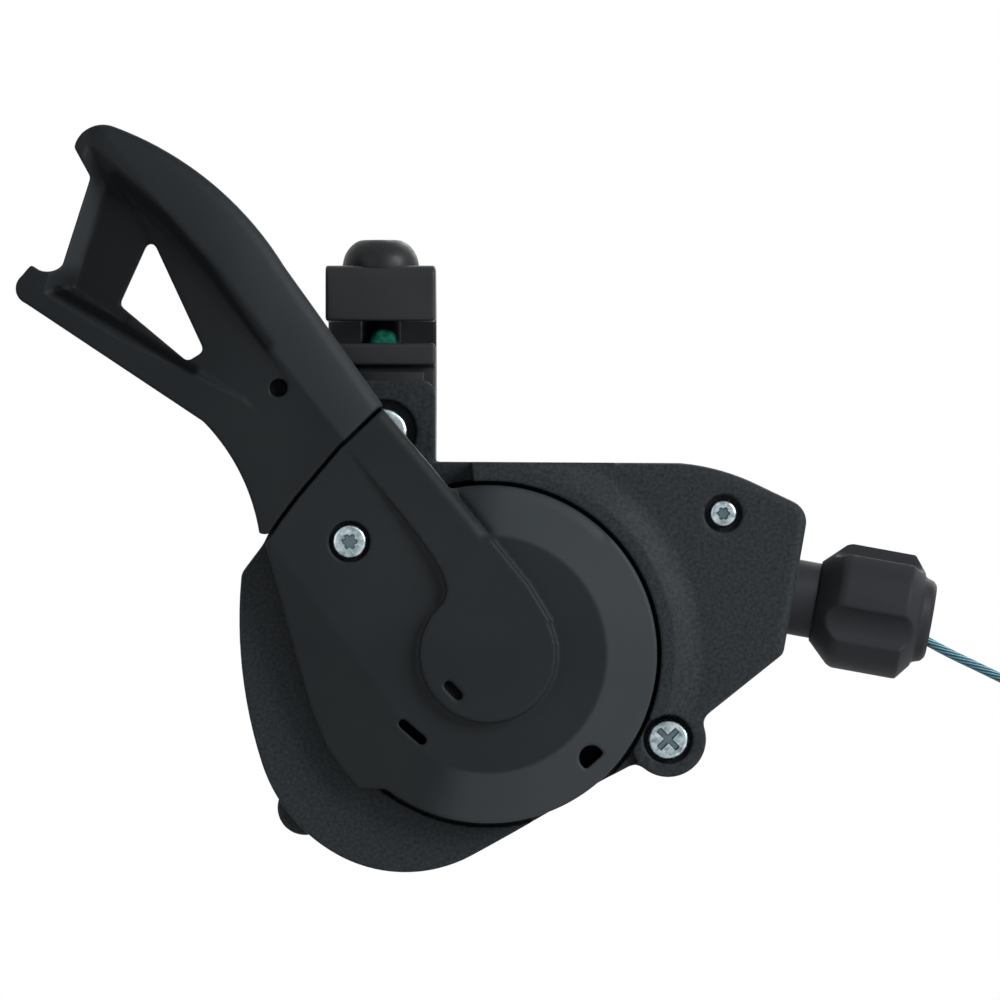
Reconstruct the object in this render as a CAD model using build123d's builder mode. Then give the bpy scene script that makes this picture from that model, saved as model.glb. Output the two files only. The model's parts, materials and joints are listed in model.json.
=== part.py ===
from build123d import *
from math import cos, degrees, hypot, pi, radians, sin, tan
import os

# Trigger gear shifter with one two-way lever, clamped round a handlebar.
# X runs along the bar, Z up the face of the shifter, and Y away from the lever side.
# The origin is the middle of the clamp bore. Lengths are in millimetres.
# A "level" is a height towards the lever side, so level 20 lies at Y = -20.

os.makedirs("parts", exist_ok=True)


def level(height):
    """Sketch plane at a level, seen from the lever side."""
    return Plane.XZ.offset(height)


def polar(radius, angle):
    """Point on the face, from the main axle."""
    return (PIVOT_X + radius * cos(radians(angle)), PIVOT_Z + radius * sin(radians(angle)))


def finish(piece, name):
    """Label a finished piece and write it."""
    piece.part.label = name
    export_step(piece.part, f"parts/{name}.step")


# Clearances
RUNNING = 0.05          # radial gap of a shaft that turns in its hole
MOVING = 0.3            # gap between pieces that move past each other
FITTED = 0.1            # gap between pieces that are screwed together
JOINT_GAP = 0.45        # gap seen between the lever's arm and its cap

# Handlebar clamp
BAR_DIA = 22.2
BORE_CLEARANCE = 0.05
BAND_WALL = 2.9
CLAMP_WIDTH = 13.8
EAR_FRONT = 21.5        # level of the ears' front face
SLIT_LOW = 4.3
SLIT_WIDTH = 2.8
LIP_DEPTH = 2.8         # lower ear, below the slit
CLAMP_SEAT = 20.0       # level of the face that the base plate's ear lies on
CLAMP_BOTTOM = -10.2
BOLT_LEVEL = 15.8
BOLT_DIA = 5.0
BOLT_HEAD_DIA = 9.9
BOLT_HEAD_HEIGHT = 3.7
BOLT_SINK = 0.65
BOLT_KEY = 4.0
BOLT_END = -2.0
BORE_R = BAR_DIA / 2 + BORE_CLEARANCE
BAND_R = BORE_R + BAND_WALL

# Main axle and the two shells
PIVOT_X = 13.5
PIVOT_Z = -34.6
BACK = 7.0              # level of the rear face
PARTING = 20.0          # level where the two shells meet
LOW_FRONT = 27.5        # level of the cover under the lever
FLAT_FRONT = 29.2       # level of the cover beside the lever
SHOULDER_FRONT = 30.9   # level of the raised rim round the lever
WALL = 2.0
OPENING_R = 18.9
RECESS_R = 21.6         # recess that the lever's disc turns in
RING_WIDTH = 1.1        # groove in the recess's floor, round the disc's edge
RING_DEPTH = 1.2
SHOULDER_WIDTH = 1.9
SHOULDER_FOOT = 7.0
SHOULDER_START = -22.0  # angles of the rim's two ends
SHOULDER_END = 95.0
TOP_EDGE = -10.5
BACK_FILLET = 2.6
FRONT_FILLET = 1.1

# Bracket tab and its screw
TAB_FRONT = 24.3
TAB_TOP = -0.4
TAB_CORNER = 1.75
BRACKET_X = 0.44
BRACKET_Z = -6.9
BRACKET_SCREW_DIA = 4.0
BRACKET_HEAD_DIA = 6.0
BRACKET_SINK_DIA = 8.2
BRACKET_HEAD = 1.5
BRACKET_END = 13.0      # level of the screw's end

# Cover screws
SMALL_SCREW = (42.9, -17.06)
SMALL_HEAD_DIA = 3.4
SMALL_SINK_DIA = 4.8
LARGE_SCREW = (36.0, -45.25)
LARGE_HEAD_DIA = 5.1
LARGE_SINK_DIA = 6.2
LARGE_BOSS_R = 4.75
LARGE_FRONT = 28.6
SMALL_BOSS_R = 3.2
SCREW_DIA = 2.5
SCREW_HEAD = 1.3
SCREW_END = 10.0        # level of the screws' ends
STUB = (-9.5, -54.0)
STUB_R = 3.44
STUB_HEAD_DIA = 4.6
STUB_SINK = 2.0
STUB_SCREW_END = 24.0

# Sheet-metal base plate
SHEET = 1.5
PLATE_BACK = 12.0
PLATE_R = 18.6
EAR_WIDTH = 10.0
EAR_X = 0.5
EAR_TOP = 0.7

# Axle stack, as levels
AXLE_R = 3.0
AXLE_THREAD_R = 2.5
AXLE_FLANGE_R = 5.0
LEVER_PLATE_BACK = LOW_FRONT + MOVING
LEVER_PLATE_THICK = 1.6
LEVER_PLATE_FRONT = LEVER_PLATE_BACK + LEVER_PLATE_THICK
AXLE_SHOULDER = LEVER_PLATE_FRONT + 0.2
WASHER_THICK = 0.6
NUT_HEIGHT = 2.5
NUT_KEY = 8.0
AXLE_TIP = AXLE_SHOULDER + WASHER_THICK + NUT_HEIGHT + 0.1

# Winding drum
GROOVE_LEVEL = 19.0
WIRE_DIA = 1.2
GROOVE_R = 13.8         # radius of the cable's centre line on the drum
SPOOL_R = 16.0
RATCHET_R = 11.0
REAR_RATCHET = PLATE_BACK + SHEET + MOVING
RATCHET_THICK = 2.0
SPOOL_BACK = REAR_RATCHET + RATCHET_THICK
SPOOL_FRONT = 2 * GROOVE_LEVEL - SPOOL_BACK
FRONT_RATCHET = SPOOL_FRONT + RATCHET_THICK
TOOTH_DEPTH = 1.8
TOOTH_STEP = 35.0
TOOTH_COUNT = 3
HEAD_R = 2.2
HEAD_LENGTH = 4.4
WRAP_START = 81.5
WRAP_END = 150.0

# Pawls
PAWL_PIN_R = 1.25
PAWL_REACH = OPENING_R - 2 * PAWL_PIN_R - 0.4   # pin's distance from the main axle
PAWL_THICK = 1.6
WINDING_PIN_ANGLE = 60.0
HOLDING_PIN_ANGLE = 200.0
NOSE_LEAD = 35.0        # angle from pin to nose, round the main axle
SPRING_WIRE = 0.7
SPRING_STEPS = 16       # straight steps in each turn of a spring
DRUM_SPRING_R = 10.6

# Lever
DISC_GAP = 0.5
DISC_R = RECESS_R - DISC_GAP
DISC_FLAT_R = 14.75
DISC_EDGE = 31.2
LEVER_FACE = 32.5
BOSS_FACE = 34.0
BOSS_R = 8.5
NUT_SPACE_R = 5.3
PLATE_DISC_R = 19.2
TONGUE_THICK = 1.2
TONGUE_START = 120.0    # angles of the tongue's two sides
TONGUE_END = 145.0
TONGUE_R = 19.5
EDGE_WALL = 1.5         # cap's wall past the end of the lever plate
RIVET_R = 1.0
RIVET_REACH = 27.0
BUSH_R = 4.6
BUSH_NECK_R = 3.9
PAD_SWEEP_R = 44.0
PAD_RIGHT = -15.0
WEB_SLOPE = 0.105
WEB_FRONT = 33.2        # level of the web's plane on the clamp's axis
BAR_SLOPE = 0.068
BAR_FRONT = 32.35       # the same, of the raised bar
WEB_DRAFT = 40.0
PANEL_DEPTH = 0.4
DIMPLE = (-12.6, -1.4)
DIMPLE_R = 1.1
DIMPLE_DEPTH = 1.2
CREASE_SLOPE = 14.0
CONE_START = -127.0     # angles of the coned rim's two ends
CONE_END = 101.0
D_HOLE = (26.4, -47.5)
D_HOLE_R = 1.56
D_HOLE_FLAT = 0.67       # flat's distance from the hole's middle
D_HOLE_TURN = -49.0
CAP_SCREW_DIA = 2.2
ARM_BACK = TAB_FRONT + 0.5
ARM_SWEEP_R = 33.0      # inside this the arm stays in front of the cover
PAD_BACK = 22.3         # rear edge of the two finger pads
WEB_BACK = 26.6
CAP_SCREW = (-3.75, -20.56)
CAP_HEAD_DIA = 4.2
CAP_SINK_DIA = 5.2

# Barrel adjuster
BARREL_SLOPE = 10.3
BARREL_X = 51.4         # where its axis leaves the shells
BARREL_Z = -27.45
NECK_R = 4.8
NECK_END = 3.66
NECK_BACK = -5.0
KNOB_R = 7.9
KNOB_START = 4.4
KNOB_END = 16.1
KNOB_CONE = 3.2         # length of the knob's coned left end
KNOB_NECK_R = 4.9
NOSE_R = 5.1
NOSE_END = 18.0
CASING_R = 3.1          # socket for the outer casing
SOCKET_START = 8.5
ADJUSTER_BOLT_R = 2.95
WIRE_HOLE_R = 1.0
GRIP_GROOVES = 4
GRIP_GROOVE_R = 2.75
GRIP_GROOVE_DEPTH = 1.5
GRIP_GROOVE_ANGLE = 16.5    # from the lever side, downwards
DETENT_R = 4.0
DETENT_START = 1.4
DETENT_END = 4.1

DIRECTION = Vector(cos(radians(BARREL_SLOPE)), 0, -sin(radians(BARREL_SLOPE)))
BARREL = Plane(
    origin=(BARREL_X, -GROOVE_LEVEL, BARREL_Z),
    x_dir=DIRECTION,
    z_dir=(0, -1, 0),
)
BARREL_FACE = Plane(origin=BARREL.origin, x_dir=(0, -1, 0), z_dir=DIRECTION)
BARREL_AXIS = Axis(BARREL.origin, DIRECTION)
MAIN_AXIS = Axis((PIVOT_X, 0, PIVOT_Z), (0, -1, 0))


def section(angle):
    """Half section through the main axle: x is the radius and y the level."""
    out = (cos(radians(angle)), 0, sin(radians(angle)))
    return Plane(origin=(PIVOT_X, 0, PIVOT_Z), x_dir=out, z_dir=(out[2], 0, -out[0]))


# Outline of the two shells, without and with the boss of the large screw.
TOP_LEFT = (-6.9, TOP_EDGE)
TOP_RIGHT = (37.5, -10.75)
BROW = (46.25, -13.0)
RIGHT_CORNER = (53.6, -16.5)
HEEL = (50.4, -34.6)
WEB_CORNER = (36.0, -46.1)
BELLY_START = (27.5, -50.6)
BELLY = [(11.5, -59.8), (-5.0, -59.9), (-14.8, -48.2), (-17.3, -24.5)]
SHELL_NECK = (-14.6, -20.9)

with BuildSketch() as case_plain:
    with BuildLine():
        Line(TOP_LEFT, TOP_RIGHT)
        ThreePointArc(TOP_RIGHT, (42.1, -11.55), BROW)
        Line(BROW, RIGHT_CORNER)
        Line(RIGHT_CORNER, HEEL)
        Line(HEEL, WEB_CORNER)
        Line(WEB_CORNER, BELLY_START)
        underside = TangentArc(BELLY_START, BELLY[0], tangent=(-0.855, -0.52))
        keel = TangentArc(BELLY[0], BELLY[1], tangent=underside % 1)
        bilge = TangentArc(BELLY[1], BELLY[2], tangent=keel % 1)
        TangentArc(BELLY[2], BELLY[3], tangent=bilge % 1)
        Line(BELLY[3], SHELL_NECK)
        ThreePointArc(SHELL_NECK, (-11.4, -15.4), TOP_LEFT)
    make_face()
    fillet(case_plain.vertices().sort_by_distance(RIGHT_CORNER)[0], radius=2.8)
    fillet(case_plain.vertices().sort_by_distance(HEEL)[0], radius=1.2)
    fillet(case_plain.vertices().sort_by_distance(BELLY[3])[0], radius=2.0)

with BuildSketch() as cavity_face:
    offset(case_plain.sketch, amount=-WALL)

with BuildSketch() as boss_face:
    add(case_plain.sketch)
    with Locations(LARGE_SCREW):
        Circle(LARGE_BOSS_R)
    notches = boss_face.vertices().filter_by(
        lambda v: abs(hypot(v.X - LARGE_SCREW[0], v.Y - LARGE_SCREW[1]) - LARGE_BOSS_R) < 0.01
    )
    fillet(notches, radius=1.6)
    add(case_plain.sketch, mode=Mode.SUBTRACT)

# Part of the outline that the lever passes over.
with BuildSketch() as low_face:
    with Locations((PIVOT_X, PIVOT_Z)):
        Circle(RECESS_R)
    with BuildLine():
        RadiusArc(polar(RECESS_R + 14, SHOULDER_END), polar(RECESS_R + 14, 180), -(RECESS_R + 14))
        RadiusArc(polar(RECESS_R + 14, 180), polar(RECESS_R + 14, SHOULDER_START + 360), -(RECESS_R + 14))
        Line(polar(RECESS_R + 14, SHOULDER_START), (PIVOT_X, PIVOT_Z))
        Line((PIVOT_X, PIVOT_Z), polar(RECESS_R + 14, SHOULDER_END))
    make_face()

# Six-lobe recess of a unit screw, scaled where it is used.
LOBE_RING = 0.62
LOBE_R = 0.24
with BuildSketch() as lobe_face:
    Circle(LOBE_RING)
    with PolarLocations(LOBE_RING, 6):
        Circle(LOBE_R)

# Cast clamp: a band with a slit at the front, closed by the bolt, and a boss under it.
with BuildPart() as clamp_band:
    with BuildSketch(Plane.YZ.offset(-CLAMP_WIDTH / 2)) as clamp_side:
        Circle(BAND_R)
        with BuildLine():
            Polyline(
                (0, BAND_R),
                (-EAR_FRONT, BAND_R),
                (-EAR_FRONT, SLIT_LOW - LIP_DEPTH),
                (-CLAMP_SEAT, SLIT_LOW - LIP_DEPTH),
                (-CLAMP_SEAT, CLAMP_BOTTOM),
                (0, CLAMP_BOTTOM),
                close=True,
            )
        make_face()
        fillet(clamp_side.vertices().sort_by_distance((-EAR_FRONT, BAND_R))[0], radius=1.2)
        fillet(clamp_side.vertices().sort_by_distance((-CLAMP_SEAT, CLAMP_BOTTOM))[0], radius=0.8)
        Circle(BORE_R, mode=Mode.SUBTRACT)
        with Locations((-EAR_FRONT, SLIT_LOW + SLIT_WIDTH / 2)):
            Rectangle(2 * (EAR_FRONT - BORE_R / 2), SLIT_WIDTH, mode=Mode.SUBTRACT)
    extrude(amount=CLAMP_WIDTH)
    with Locations(Plane((0, -BOLT_LEVEL, BAND_R), z_dir=(0, 0, 1))):
        CounterBoreHole(
            radius=BOLT_DIA / 2 + RUNNING,
            counter_bore_radius=BOLT_HEAD_DIA / 2 + MOVING,
            counter_bore_depth=BOLT_SINK,
            depth=BAND_R - BOLT_END + 0.5,
        )
    with Locations(Plane((BRACKET_X, -CLAMP_SEAT, BRACKET_Z), z_dir=(0, -1, 0))):
        Hole(radius=BRACKET_SCREW_DIA / 2 + RUNNING, depth=CLAMP_SEAT - BRACKET_END + 0.4)
finish(clamp_band, "clamp_band")

with BuildPart() as clamp_bolt:
    with BuildSketch(Plane.XY.offset(BOLT_END)):
        with Locations((0, -BOLT_LEVEL)):
            Circle(BOLT_DIA / 2)
    extrude(amount=BAND_R - BOLT_SINK - BOLT_END)
    with BuildSketch(Plane.XY.offset(BAND_R - BOLT_SINK)):
        with Locations((0, -BOLT_LEVEL)):
            Circle(BOLT_HEAD_DIA / 2)
    extrude(amount=BOLT_HEAD_HEIGHT)
    fillet(clamp_bolt.edges().group_by(Axis.Z)[-1], radius=BOLT_HEAD_HEIGHT * 0.63)
    with BuildSketch(Plane.XY.offset(BAND_R - BOLT_SINK + BOLT_HEAD_HEIGHT)):
        with Locations((0, -BOLT_LEVEL)):
            RegularPolygon(radius=BOLT_KEY / 2, side_count=6, major_radius=False)
    extrude(amount=-BOLT_KEY / 2, mode=Mode.SUBTRACT)
finish(clamp_bolt, "clamp_bolt")


def screw(place, head_dia, head_back, head_height, shank_dia, end, recess):
    """Pan-head screw square to the face, with its recess sketch, as a private part."""
    with BuildPart(mode=Mode.PRIVATE) as made:
        with BuildSketch(level(end)):
            with Locations(place):
                Circle(shank_dia / 2)
        extrude(amount=head_back - end)
        with BuildSketch(level(head_back)):
            with Locations(place):
                Circle(head_dia / 2)
        extrude(amount=head_height)
        fillet(made.edges().group_by(Axis.Y)[0], radius=head_height * 0.35)
        with BuildSketch(level(head_back + head_height)):
            with Locations(place):
                add(recess)
        extrude(amount=-head_height * 0.6, mode=Mode.SUBTRACT)
    return made


def lobe_recess(radius):
    """Six-lobe recess, as a sketch."""
    return scale(lobe_face.sketch, by=radius)


def cross_recess(radius):
    """Cross recess, as a sketch."""
    with BuildSketch(mode=Mode.PRIVATE) as cross:
        Rectangle(2 * radius, 0.42 * radius, rotation=45)
        Rectangle(0.42 * radius, 2 * radius, rotation=45)
    return cross.sketch


bracket_screw = screw(
    (BRACKET_X, BRACKET_Z), BRACKET_HEAD_DIA, TAB_FRONT - BRACKET_HEAD - FITTED, BRACKET_HEAD,
    BRACKET_SCREW_DIA, BRACKET_END, lobe_recess(BRACKET_HEAD_DIA * 0.24),
)
finish(bracket_screw, "bracket_screw")

# Base plate: pressed sheet, with an ear stepped forward between the clamp and the tab.
EAR_BOTTOM = TOP_EDGE - WALL - 0.4 - SHEET
with BuildPart() as base_plate:
    with BuildSketch(level(PLATE_BACK)):
        with Locations((PIVOT_X, PIVOT_Z)):
            Circle(PLATE_R)
        with BuildLine():
            Polyline(
                (EAR_X - EAR_WIDTH / 2, EAR_BOTTOM + SHEET),
                (EAR_X + EAR_WIDTH / 2, EAR_BOTTOM + SHEET),
                (PIVOT_X + PLATE_R * 0.4, PIVOT_Z + PLATE_R * 0.8),
                (PIVOT_X - PLATE_R * 0.9, PIVOT_Z + PLATE_R * 0.3),
                close=True,
            )
        make_face()
        with Locations((PIVOT_X, PIVOT_Z)):
            Circle(AXLE_R, mode=Mode.SUBTRACT)
        with Locations(polar(PAWL_REACH, HOLDING_PIN_ANGLE)):
            Circle(PAWL_PIN_R, mode=Mode.SUBTRACT)
    extrude(amount=SHEET)
    with BuildSketch(level(PLATE_BACK)):
        with Locations((EAR_X, EAR_BOTTOM + SHEET / 2)):
            Rectangle(EAR_WIDTH, SHEET)
    extrude(amount=CLAMP_SEAT + SHEET - PLATE_BACK)
    with BuildSketch(level(CLAMP_SEAT)):
        with Locations((EAR_X, (EAR_TOP + EAR_BOTTOM) / 2)):
            Rectangle(EAR_WIDTH, EAR_TOP - EAR_BOTTOM)
        with Locations((BRACKET_X, BRACKET_Z)):
            Circle(BRACKET_SCREW_DIA / 2 + FITTED, mode=Mode.SUBTRACT)
    extrude(amount=SHEET)
finish(base_plate, "base_plate")

# Rear shell, with posts for the screws and a hollow that clears the clamp band.
with BuildPart() as top_cover:
    with BuildSketch(level(BACK)):
        add(case_plain.sketch)
    extrude(amount=PARTING - BACK)
    fillet(top_cover.faces().sort_by(Axis.Y)[-1].outer_wire().edges(), radius=BACK_FILLET)
    with BuildSketch(level(BACK + BACK_FILLET / 2)):
        add(boss_face.sketch)
        with Locations(STUB):
            Circle(STUB_R)
    extrude(amount=PARTING - BACK - BACK_FILLET / 2)
    with BuildSketch(level(BACK + WALL)):
        add(cavity_face.sketch)
    extrude(amount=PARTING - BACK - WALL, mode=Mode.SUBTRACT)
    with BuildSketch(level(BACK + WALL / 2)):
        with Locations(SMALL_SCREW):
            Circle(SMALL_BOSS_R)
        with Locations(LARGE_SCREW):
            Circle(LARGE_BOSS_R)
        with Locations(STUB):
            Circle(STUB_R)
    extrude(amount=PARTING - BACK - WALL / 2)
    with BuildSketch(level(SCREW_END - MOVING)):
        with Locations(SMALL_SCREW, LARGE_SCREW):
            Circle(SCREW_DIA / 2)
    extrude(amount=PARTING, mode=Mode.SUBTRACT)
    with Locations(Plane((STUB[0], -BACK, STUB[1]), z_dir=(0, 1, 0))):
        CounterBoreHole(
            radius=SCREW_DIA / 2 + RUNNING,
            counter_bore_radius=STUB_HEAD_DIA / 2 + MOVING,
            counter_bore_depth=STUB_SINK,
            depth=PARTING,
        )
    with BuildSketch(Plane.YZ.offset(-CLAMP_WIDTH / 2 - MOVING)):
        Circle(BAND_R + MOVING)
    extrude(amount=CLAMP_WIDTH + 2 * MOVING, mode=Mode.SUBTRACT)
    with BuildSketch(BARREL_FACE):
        Circle(NECK_R)
    extrude(amount=3 * WALL, both=True, mode=Mode.SUBTRACT)
finish(top_cover, "top_cover")

# Front cover: low under the lever, with a raised rim round its disc and the bracket tab.
with BuildPart() as bottom_cover:
    with BuildSketch(level(PARTING)):
        add(case_plain.sketch)
    extrude(amount=FLAT_FRONT - PARTING)
    fillet(bottom_cover.faces().sort_by(Axis.Y)[0].outer_wire().edges(), radius=FRONT_FILLET)
    with BuildSketch(level(LOW_FRONT)):
        add(low_face.sketch)
    extrude(amount=PARTING, mode=Mode.SUBTRACT)
    with BuildSketch(section(SHOULDER_START)):
        with BuildLine():
            Polyline(
                (RECESS_R + SHOULDER_FOOT, FLAT_FRONT - 0.1),
                (RECESS_R + SHOULDER_FOOT, LOW_FRONT - 1),
                (RECESS_R, LOW_FRONT - 1),
                (RECESS_R, SHOULDER_FRONT),
                (RECESS_R + SHOULDER_WIDTH, SHOULDER_FRONT),
            )
            ThreePointArc(
                (RECESS_R + SHOULDER_WIDTH, SHOULDER_FRONT),
                (RECESS_R + SHOULDER_FOOT * 0.5, (SHOULDER_FRONT + FLAT_FRONT) / 2 - 0.25),
                (RECESS_R + SHOULDER_FOOT, FLAT_FRONT - 0.1),
            )
        make_face()
    revolve(axis=MAIN_AXIS, revolution_arc=SHOULDER_END - SHOULDER_START)
    with BuildSketch(level(PARTING)):
        add(case_plain.sketch)
    extrude(amount=PARTING, mode=Mode.INTERSECT)
    with BuildSketch(level(PARTING)):
        add(boss_face.sketch)
        with Locations(LARGE_SCREW):
            Circle(LARGE_BOSS_R)
    extrude(amount=LARGE_FRONT - PARTING)
    with BuildSketch(level(CLAMP_SEAT + SHEET)) as tab_face:
        with Locations((0, (TAB_TOP + TOP_EDGE - WALL) / 2)):
            Rectangle(CLAMP_WIDTH, TAB_TOP - TOP_EDGE + WALL)
        fillet(tab_face.vertices().group_by(Axis.Z)[-1], radius=TAB_CORNER)
    extrude(amount=TAB_FRONT - CLAMP_SEAT - SHEET)
    with BuildSketch(level(PARTING)):
        add(cavity_face.sketch)
        with Locations(SMALL_SCREW):
            Circle(SMALL_BOSS_R, mode=Mode.SUBTRACT)
        with Locations(LARGE_SCREW):
            Circle(LARGE_BOSS_R, mode=Mode.SUBTRACT)
        with Locations(STUB):
            Circle(STUB_R, mode=Mode.SUBTRACT)
    extrude(amount=LOW_FRONT - WALL - PARTING, mode=Mode.SUBTRACT)
    with BuildSketch(level(LOW_FRONT)):
        with Locations((PIVOT_X, PIVOT_Z)):
            Circle(RECESS_R)
    extrude(amount=PARTING, mode=Mode.SUBTRACT)
    with BuildSketch(level(PARTING)):
        with Locations((PIVOT_X, PIVOT_Z)):
            Circle(OPENING_R)
    extrude(amount=PARTING, mode=Mode.SUBTRACT)
    with BuildSketch(level(LOW_FRONT)):
        with Locations((PIVOT_X, PIVOT_Z)):
            Circle(RECESS_R)
            Circle(RECESS_R - RING_WIDTH, mode=Mode.SUBTRACT)
    extrude(amount=-RING_DEPTH, mode=Mode.SUBTRACT)
    with BuildSketch(level(LARGE_FRONT)):
        with Locations(LARGE_SCREW):
            Circle(LARGE_SINK_DIA / 2)
    extrude(amount=PARTING, mode=Mode.SUBTRACT)
    with Locations(Plane((SMALL_SCREW[0], -FLAT_FRONT, SMALL_SCREW[1]), z_dir=(0, -1, 0))):
        CounterBoreHole(
            radius=SCREW_DIA / 2 + RUNNING,
            counter_bore_radius=SMALL_SINK_DIA / 2,
            counter_bore_depth=SCREW_HEAD + MOVING,
            depth=PARTING,
        )
    with Locations(Plane((LARGE_SCREW[0], -LARGE_FRONT, LARGE_SCREW[1]), z_dir=(0, -1, 0))):
        CounterBoreHole(
            radius=SCREW_DIA / 2 + RUNNING,
            counter_bore_radius=LARGE_SINK_DIA / 2,
            counter_bore_depth=SCREW_HEAD + MOVING,
            depth=PARTING,
        )
    with Locations(Plane((BRACKET_X, -TAB_FRONT, BRACKET_Z), z_dir=(0, -1, 0))):
        CounterBoreHole(
            radius=BRACKET_SCREW_DIA / 2 + FITTED,
            counter_bore_radius=BRACKET_SINK_DIA / 2,
            counter_bore_depth=BRACKET_HEAD + FITTED,
            depth=TAB_FRONT,
        )
    with BuildSketch(level(PARTING)):
        with Locations(STUB):
            Circle(SCREW_DIA / 2)
        with Locations((EAR_X, TOP_EDGE)):
            Rectangle(EAR_WIDTH + 2 * FITTED, 4 * WALL)
    extrude(amount=SHEET, mode=Mode.SUBTRACT)
    with BuildSketch(level(PARTING)):
        with Locations(STUB):
            Circle(SCREW_DIA / 2)
    extrude(amount=STUB_SCREW_END + MOVING - PARTING, mode=Mode.SUBTRACT)
    with BuildSketch(BARREL_FACE):
        Circle(NECK_R)
    extrude(amount=3 * WALL, both=True, mode=Mode.SUBTRACT)
finish(bottom_cover, "bottom_cover")

cover_screw_small = screw(
    SMALL_SCREW, SMALL_HEAD_DIA, FLAT_FRONT - SCREW_HEAD - MOVING, SCREW_HEAD,
    SCREW_DIA, SCREW_END, lobe_recess(SMALL_HEAD_DIA * 0.27),
)
finish(cover_screw_small, "cover_screw_small")

cover_screw_large = screw(
    LARGE_SCREW, LARGE_HEAD_DIA, LARGE_FRONT - SCREW_HEAD - MOVING, SCREW_HEAD,
    SCREW_DIA, SCREW_END, cross_recess(LARGE_HEAD_DIA * 0.32),
)
finish(cover_screw_large, "cover_screw_large")

# Screw through the rear shell's stub, driven from behind.
with BuildPart() as rear_screw:
    with BuildSketch(level(BACK + STUB_SINK)):
        with Locations(STUB):
            Circle(SCREW_DIA / 2)
    extrude(amount=STUB_SCREW_END - BACK - STUB_SINK)
    with BuildSketch(level(BACK + STUB_SINK - SCREW_HEAD)):
        with Locations(STUB):
            Circle(STUB_HEAD_DIA / 2)
    extrude(amount=SCREW_HEAD)
    fillet(rear_screw.edges().group_by(Axis.Y)[-1], radius=SCREW_HEAD * 0.35)
    with BuildSketch(level(BACK + STUB_SINK - SCREW_HEAD)):
        with Locations(STUB):
            add(cross_recess(STUB_HEAD_DIA * 0.28))
    extrude(amount=SCREW_HEAD * 0.6, mode=Mode.SUBTRACT)
finish(rear_screw, "rear_screw")

# Main axle, riveted in the base plate, with the washer and nut that hold the lever.
with BuildPart() as main_axle:
    with BuildSketch(section(0)):
        with BuildLine():
            Polyline(
                (0, PLATE_BACK - SHEET),
                (AXLE_FLANGE_R, PLATE_BACK - SHEET),
                (AXLE_FLANGE_R, PLATE_BACK),
                (AXLE_R, PLATE_BACK),
                (AXLE_R, AXLE_SHOULDER),
                (AXLE_THREAD_R, AXLE_SHOULDER),
                (AXLE_THREAD_R, AXLE_TIP),
                (0, AXLE_TIP),
                close=True,
            )
        make_face()
    revolve(axis=MAIN_AXIS)
finish(main_axle, "main_axle")

with BuildPart() as axle_washer:
    with BuildSketch(level(AXLE_SHOULDER)):
        with Locations((PIVOT_X, PIVOT_Z)):
            Circle(NUT_SPACE_R - MOVING)
            Circle(AXLE_THREAD_R + RUNNING, mode=Mode.SUBTRACT)
    extrude(amount=WASHER_THICK)
finish(axle_washer, "axle_washer")

with BuildPart() as axle_nut:
    with BuildSketch(level(AXLE_SHOULDER + WASHER_THICK)):
        with Locations((PIVOT_X, PIVOT_Z)):
            RegularPolygon(radius=NUT_KEY / 2, side_count=6, major_radius=False)
            Circle(AXLE_THREAD_R + RUNNING, mode=Mode.SUBTRACT)
    extrude(amount=NUT_HEIGHT)
finish(axle_nut, "axle_nut")


def ratchet(first_face):
    """Ratchet disc as a sketch: saw teeth whose steep faces lie at steps from the first."""
    with BuildSketch(mode=Mode.PRIVATE) as disc:
        with Locations((PIVOT_X, PIVOT_Z)):
            Circle(RATCHET_R)
        for step in range(TOOTH_COUNT):
            face = first_face - step * TOOTH_STEP
            with BuildLine():
                Polyline(
                    polar(RATCHET_R - TOOTH_DEPTH, face - 1),
                    polar(RATCHET_R + 1, face),
                    polar(RATCHET_R + TOOTH_DEPTH, face - TOOTH_STEP / 2),
                    polar(RATCHET_R, face - TOOTH_STEP + 4),
                    close=True,
                )
            make_face(mode=Mode.SUBTRACT)
        with Locations((PIVOT_X, PIVOT_Z)):
            Circle(AXLE_R + RUNNING, mode=Mode.SUBTRACT)
    return disc.sketch


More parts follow.
